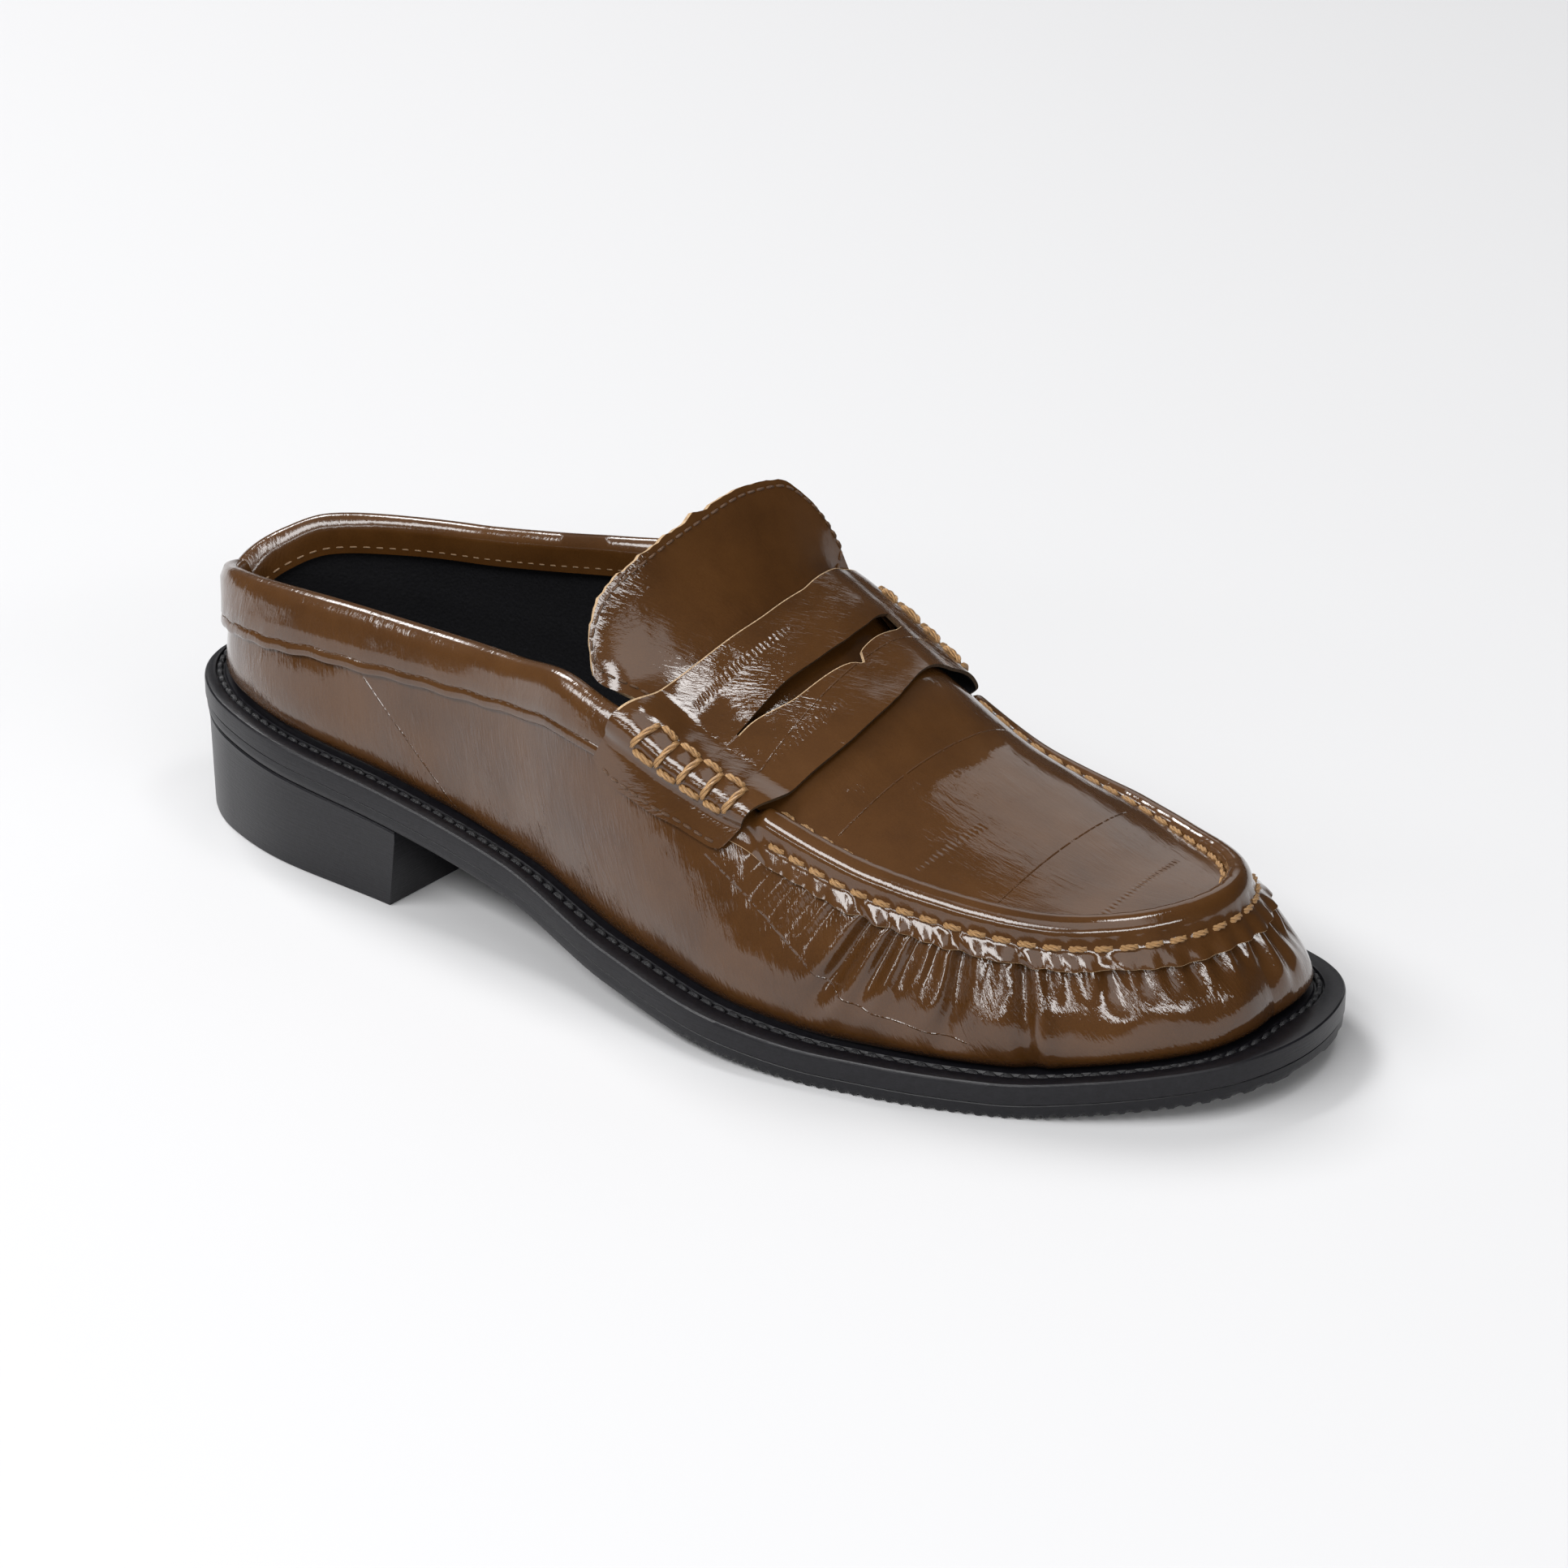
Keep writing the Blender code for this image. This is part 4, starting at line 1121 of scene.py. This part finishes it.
# collar binding: band outside, rounded edge, narrower band inside
binding = {
    "end": 0.600, "steps": 240, "shell": 0.25, "thinFrom": 0.556, "thinRun": 0.02, "thin": 0.5,
    "skin": 1.35, "lining": 3.35,  # from the wall's outer face, outwards and inwards
    "ripples": ((0.16, 0.9, 0.0), (0.13, 0.37, 1.0)),
    "outer": [
        # share of the length, mm the band reaches down outside
        (0.0, 11.0), (0.10, 10.8), (0.20, 10.1), (0.29, 9.6), (0.36, 9.1), (0.43, 9.1),
        (0.48, 9.6), (0.512, 9.3), (0.53, 8.6), (0.60, 7.6),
    ],
    "outside": [
        # share of the band's reach, mm more, mm beyond the skin
        (1, 0.0, -0.22), (1, -0.3, -0.05), (1, -1.4, 0.0), (1, -2.0, -0.32), (1, -2.6, 0.05),
        (0.5, 0.0, 0.10), (0, 2.2, 0.05), (0, 1.0, -0.05),
    ],
    # mm above the skin or down the wall, then mm inwards
    "over": [(-0.35, -0.35), (0.0, 0.4), (0.1, 1.0), (-0.1, 2.0)],
    "inside": [(0.6, 3.2), (1.5, 3.35), (3.63, 3.35), (6.6, 3.35), (6.6, 2.15)],
}
bandMm = column(binding["outer"], 1)


def bindRing(a, i):
    out, top, skin = outOf(a), topPoint(a), binding["skin"]
    outer = bandMm(shareOf(a)) + rippled(i, binding)
    ending = float(smoothStep((shareOf(a) - binding["thinFrom"]) / binding["thinRun"]))
    thin = 1 - binding["thin"] * ending
    ring = [wallDown(a, outer) + out * 0.15]
    for share, more, beyond in binding["outside"]:
        ring.append(wallDown(a, outer * share + more) + out * (skin + beyond) * thin)
    for above, inwards in binding["over"]:
        ring.append(top + upward * (skin + above) - out * inwards)
    for down, inwards in binding["inside"]:
        ring.append(wallDown(a, down) - out * inwards)
    return ring


def makeBinding():
    last = turn(binding["end"])
    n = binding["steps"]
    table = np.array([bindRing(last * (2 * i / n - 1), i) for i in range(n + 1)])
    piece = gridPiece("collarBand", table.transpose(1, 0, 2)[::-1])
    thicken(piece, binding["shell"], [bindPatent, rawEdge], 1)
    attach(piece, "root")
    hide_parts("collar_binding")
    print("collar bound")


makeBinding()

# thread: a rope stitch and a plain one modelled once, then copied along each row
thread = {
    # plies, sides, rings, ply radius, offset, turns of twist
    "rope": (3, 5, 9, 0.26, 0.23, 0.85), "plain": (1, 6, 4, 0.50, 0.0, 0.0),
}


# plies round the x axis, one unit long, radius one half
def threadSeed(kind):
    plies, sides, rings, radius, offset, twist = thread[kind]
    strands = []
    for ply in range(plies):
        bpy.ops.object.select_all(action="DESELECT")
        bpy.ops.mesh.primitive_cylinder_add(vertices=sides, radius=radius, depth=1.0,
                                            rotation=(0, math.pi / 2, 0))
        bpy.ops.object.transform_apply(location=False, rotation=True, scale=False)
        strand = bpy.context.object
        bpy.ops.object.mode_set(mode="EDIT")
        for i in range(1, rings):
            bpy.ops.mesh.select_all(action="SELECT")
            bpy.ops.mesh.bisect(plane_co=(-0.5 + i / rings, 0, 0), plane_no=(1, 0, 0))
        bpy.ops.object.mode_set(mode="OBJECT")
        for v in strand.data.vertices:
            ang = 2 * math.pi * (ply / plies + twist * v.co.x)
            taper = 1 - 0.20 * (abs(v.co.x) * 2) ** 6
            v.co.y = (v.co.y + offset * math.cos(ang)) * taper
            v.co.z = (v.co.z + offset * math.sin(ang)) * taper
        strands.append(strand)
    seed = joinAll(kind + "Seed", strands)
    bpy.ops.object.shade_smooth()
    bpy.context.scene.collection.objects.unlink(seed)
    return seed


seeds = {kind: threadSeed(kind) for kind in thread}


# each stitch: points along it, outward normals, arch; all in the shoe's frame
def threadPiece(name, stitches, width, mat, sink, kind="plain"):
    seed = seeds[kind].data
    co = np.empty(len(seed.vertices) * 3)
    seed.vertices.foreach_get("co", co)
    co = co.reshape(-1, 3)
    copies = []
    for points, outs, arch in stitches:
        points, outs = np.array(points, float), np.array(outs, float)
        run = runOf(points)
        s, step = (co[:, 0] + 0.5) * run[-1], run[-1] * 0.05
        along = unit(between(s + step, run, points) - between(s - step, run, points))
        out = between(s, run, outs)
        out = unit(out - along * (out * along).sum(axis=1)[:, None])
        end = np.abs(2 * co[:, 0])  # one at both ends
        rise = co[:, 2] * width + arch * (1 - end ** 2) - sink * width * end ** 5
        pts = between(s, run, points) + np.cross(out, along) * (co[:, 1] * width)[:, None]
        pts += out * rise[:, None]
        copy = added(name, seed.copy())
        copy.data.vertices.foreach_set("co", ((pts - origin) * mm).ravel())
        copies.append(copy)
    piece = joinAll(name, copies)
    piece.data.materials.clear()
    piece.data.materials.append(mat)
    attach(piece, "root")
    print(name, len(stitches), "stitches")


# rope stitches along the seam and over the strap's ends
rope = {
    # width, trim at each end, arch, how far the ends sink
    "seam": (1.40, 0.075, 0.55, 0.60), "inner": (1.25, 0.08, 0.30, 0.35), "whip": (1.50, 0.10, 0.25, 0.30),
    "down": 2.1, "out": 1.15, "within": 0.9,  # outer row on the wall, inner row short of the seam's foot
    "columns": (14, 22), "lift": 0.34, "wrapArch": 0.15,  # wraps over the strap's roll
}


def straight(kind, p, q, out):
    step = (q - p) * rope[kind][1]
    return [p + step, q - step], [out, out], rope[kind][2]


def ropePiece(name, kind, stitches):
    width, _, _, sink = rope[kind]
    threadPiece(name, stitches, width, goldThread, sink, "rope")


def seamStitches():
    outer, inner = [], []
    step = seam["perStitch"]
    for k in range(seamCount):
        i = seam["hidden"] + k * step
        ends, out = (seamTurns[i], seamTurns[i + step]), outOf(seamTurns[i + step // 2])
        p, q = (wallDown(a, rope["down"]) + outOf(a) * rope["out"] for a in ends)
        outer.append(straight("seam", p, q, out + upward * 0.25))
        p, q = (apronInset(a, shoe["seamFoot"] - rope["within"]) for a in ends)
        inner.append(straight("inner", p, q, upward - out * 0.4))
    ropePiece("seamThread", "seam", outer)
    ropePiece("innerThread", "inner", inner)


seamStitches()


def wrapStitches():
    wraps = []
    first, last = rope["columns"]
    for medial in (False, True):
        feet = []
        for o, i in strap["bars"]:
            spots = []
            for c in range(first, last + 1):
                share = o + (i - o) * (c - first) / (last - first)
                at = len(strapColumns) - 1 - c if medial else c
                spots.append(strapSpot(at, share, rope["lift"]))
            wraps.append(([p for p, n in spots], [n for p, n in spots], rope["wrapArch"]))
            feet.append((spots[0], spots[-1]))
        for pair in zip(feet[:-1], feet[1:]):
            for (p, n), (q, m) in zip(*pair):
                wraps.append(straight("whip", p, q, n + m))
    ropePiece("whipThread", "whip", wraps)


wrapStitches()

# fine stitches in rows: pitch and width in mm, share stitched, thread, slot, how far the ends sink
fine = {
    "bandThread": (2.6, 0.55, 0.74, brownThread, "collar_binding", 0.2),
    "bandInnerThread": (3.0, 0.48, 0.72, tanThread, "collar_binding", 0.2),
    "tongueThread": (2.6, 0.55, 0.74, brownThread, "tongue", 0.2),
    "tabThread": (2.6, 0.60, 0.74, brownThread, "strap", 0.2),
    "weltThread": (3.4, 1.25, 0.82, blackThread, "welt", 0.3),
    "arch": 0.10, "bandEnd": 0.535, "bandUp": 2.0, "innerDown": 5.3,
    "tongueRow": (0.94, 1.935, 0.14, 0.02),  # place across, place up, share of the climb, step
    "tabRow": (0.12, 2.72, 60), "tabColumn": 2, "weltDown": 0.55, "weltOut": 0.3,
}


def fineRow(name, points, normals):
    pitch, width, fill, mat, slot, sink = fine[name]
    points, normals = np.array(points), np.array(normals)
    run = runOf(points)
    row = []
    for k in range(int(run[-1] / pitch)):
        ends = between(np.array([k, k + fill]) * pitch, run, points)
        n = between((k + fill / 2) * pitch, run, normals)
        row.append((ends, [n, n], fine["arch"]))
    threadPiece(name, row, width, mat, sink)


def collarStitches():
    turns = np.linspace(-1, 1, 301) * turn(fine["bandEnd"])
    outs = np.array([outOf(a) for a in turns])
    outside = [wallDown(a, bandMm(shareOf(a)) - fine["bandUp"]) for a in turns]
    outside = outside + outs * (binding["skin"] - 0.22)
    fineRow("bandThread", outside, outs)
    inside = [wallDown(a, fine["innerDown"]) for a in turns] - outs * (binding["lining"] + 0.02)
    fineRow("bandInnerThread", inside, -outs)


collarStitches()


# up one side, over the top and down the other, just inside the edge
def tongueStitches():
    spots, normals = [], []
    side, top, climb, step = fine["tongueRow"]
    for k in np.linspace(0.0, 1.0, 161):
        t = min(max((2 * k - 1) / (1 - 2 * climb), -1.0), 1.0) * side
        v = 1.0 + min(k, 1 - k) / climb * 0.93 if min(k, 1 - k) < climb else top
        du = tonguePoint(min(t + step, 1), v) - tonguePoint(max(t - step, -1), v)
        dv = tonguePoint(t, min(v + step, 2)) - tonguePoint(t, max(v - step, 0))
        normals.append(unit(np.cross(du, dv)))
        spots.append(tonguePoint(t, v) + normals[-1] * 0.12)
    fineRow("tongueThread", spots, normals)


tongueStitches()


# row along the lower edge of the strap's lateral end
def tabStitches():
    ws, col = np.linspace(*fine["tabRow"]), fine["tabColumn"]
    spots, normals = (between(ws, strapWs, table[:, col]) for table in (strapFace, strapNormals))
    fineRow("tabThread", spots, unit(normals))


tabStitches()


def weltStitches():
    points = []
    for a in rimTurns + [2 * math.pi]:
        p = feather(a, -fine["weltOut"] - sole["grooveWide"] / 2)
        points.append([p[0], p[1], rimTop(p[0]) - fine["weltDown"]])
    fineRow("weltThread", points, [upward] * len(points))


weltStitches()
for seed in seeds.values():
    bpy.data.objects.remove(seed)
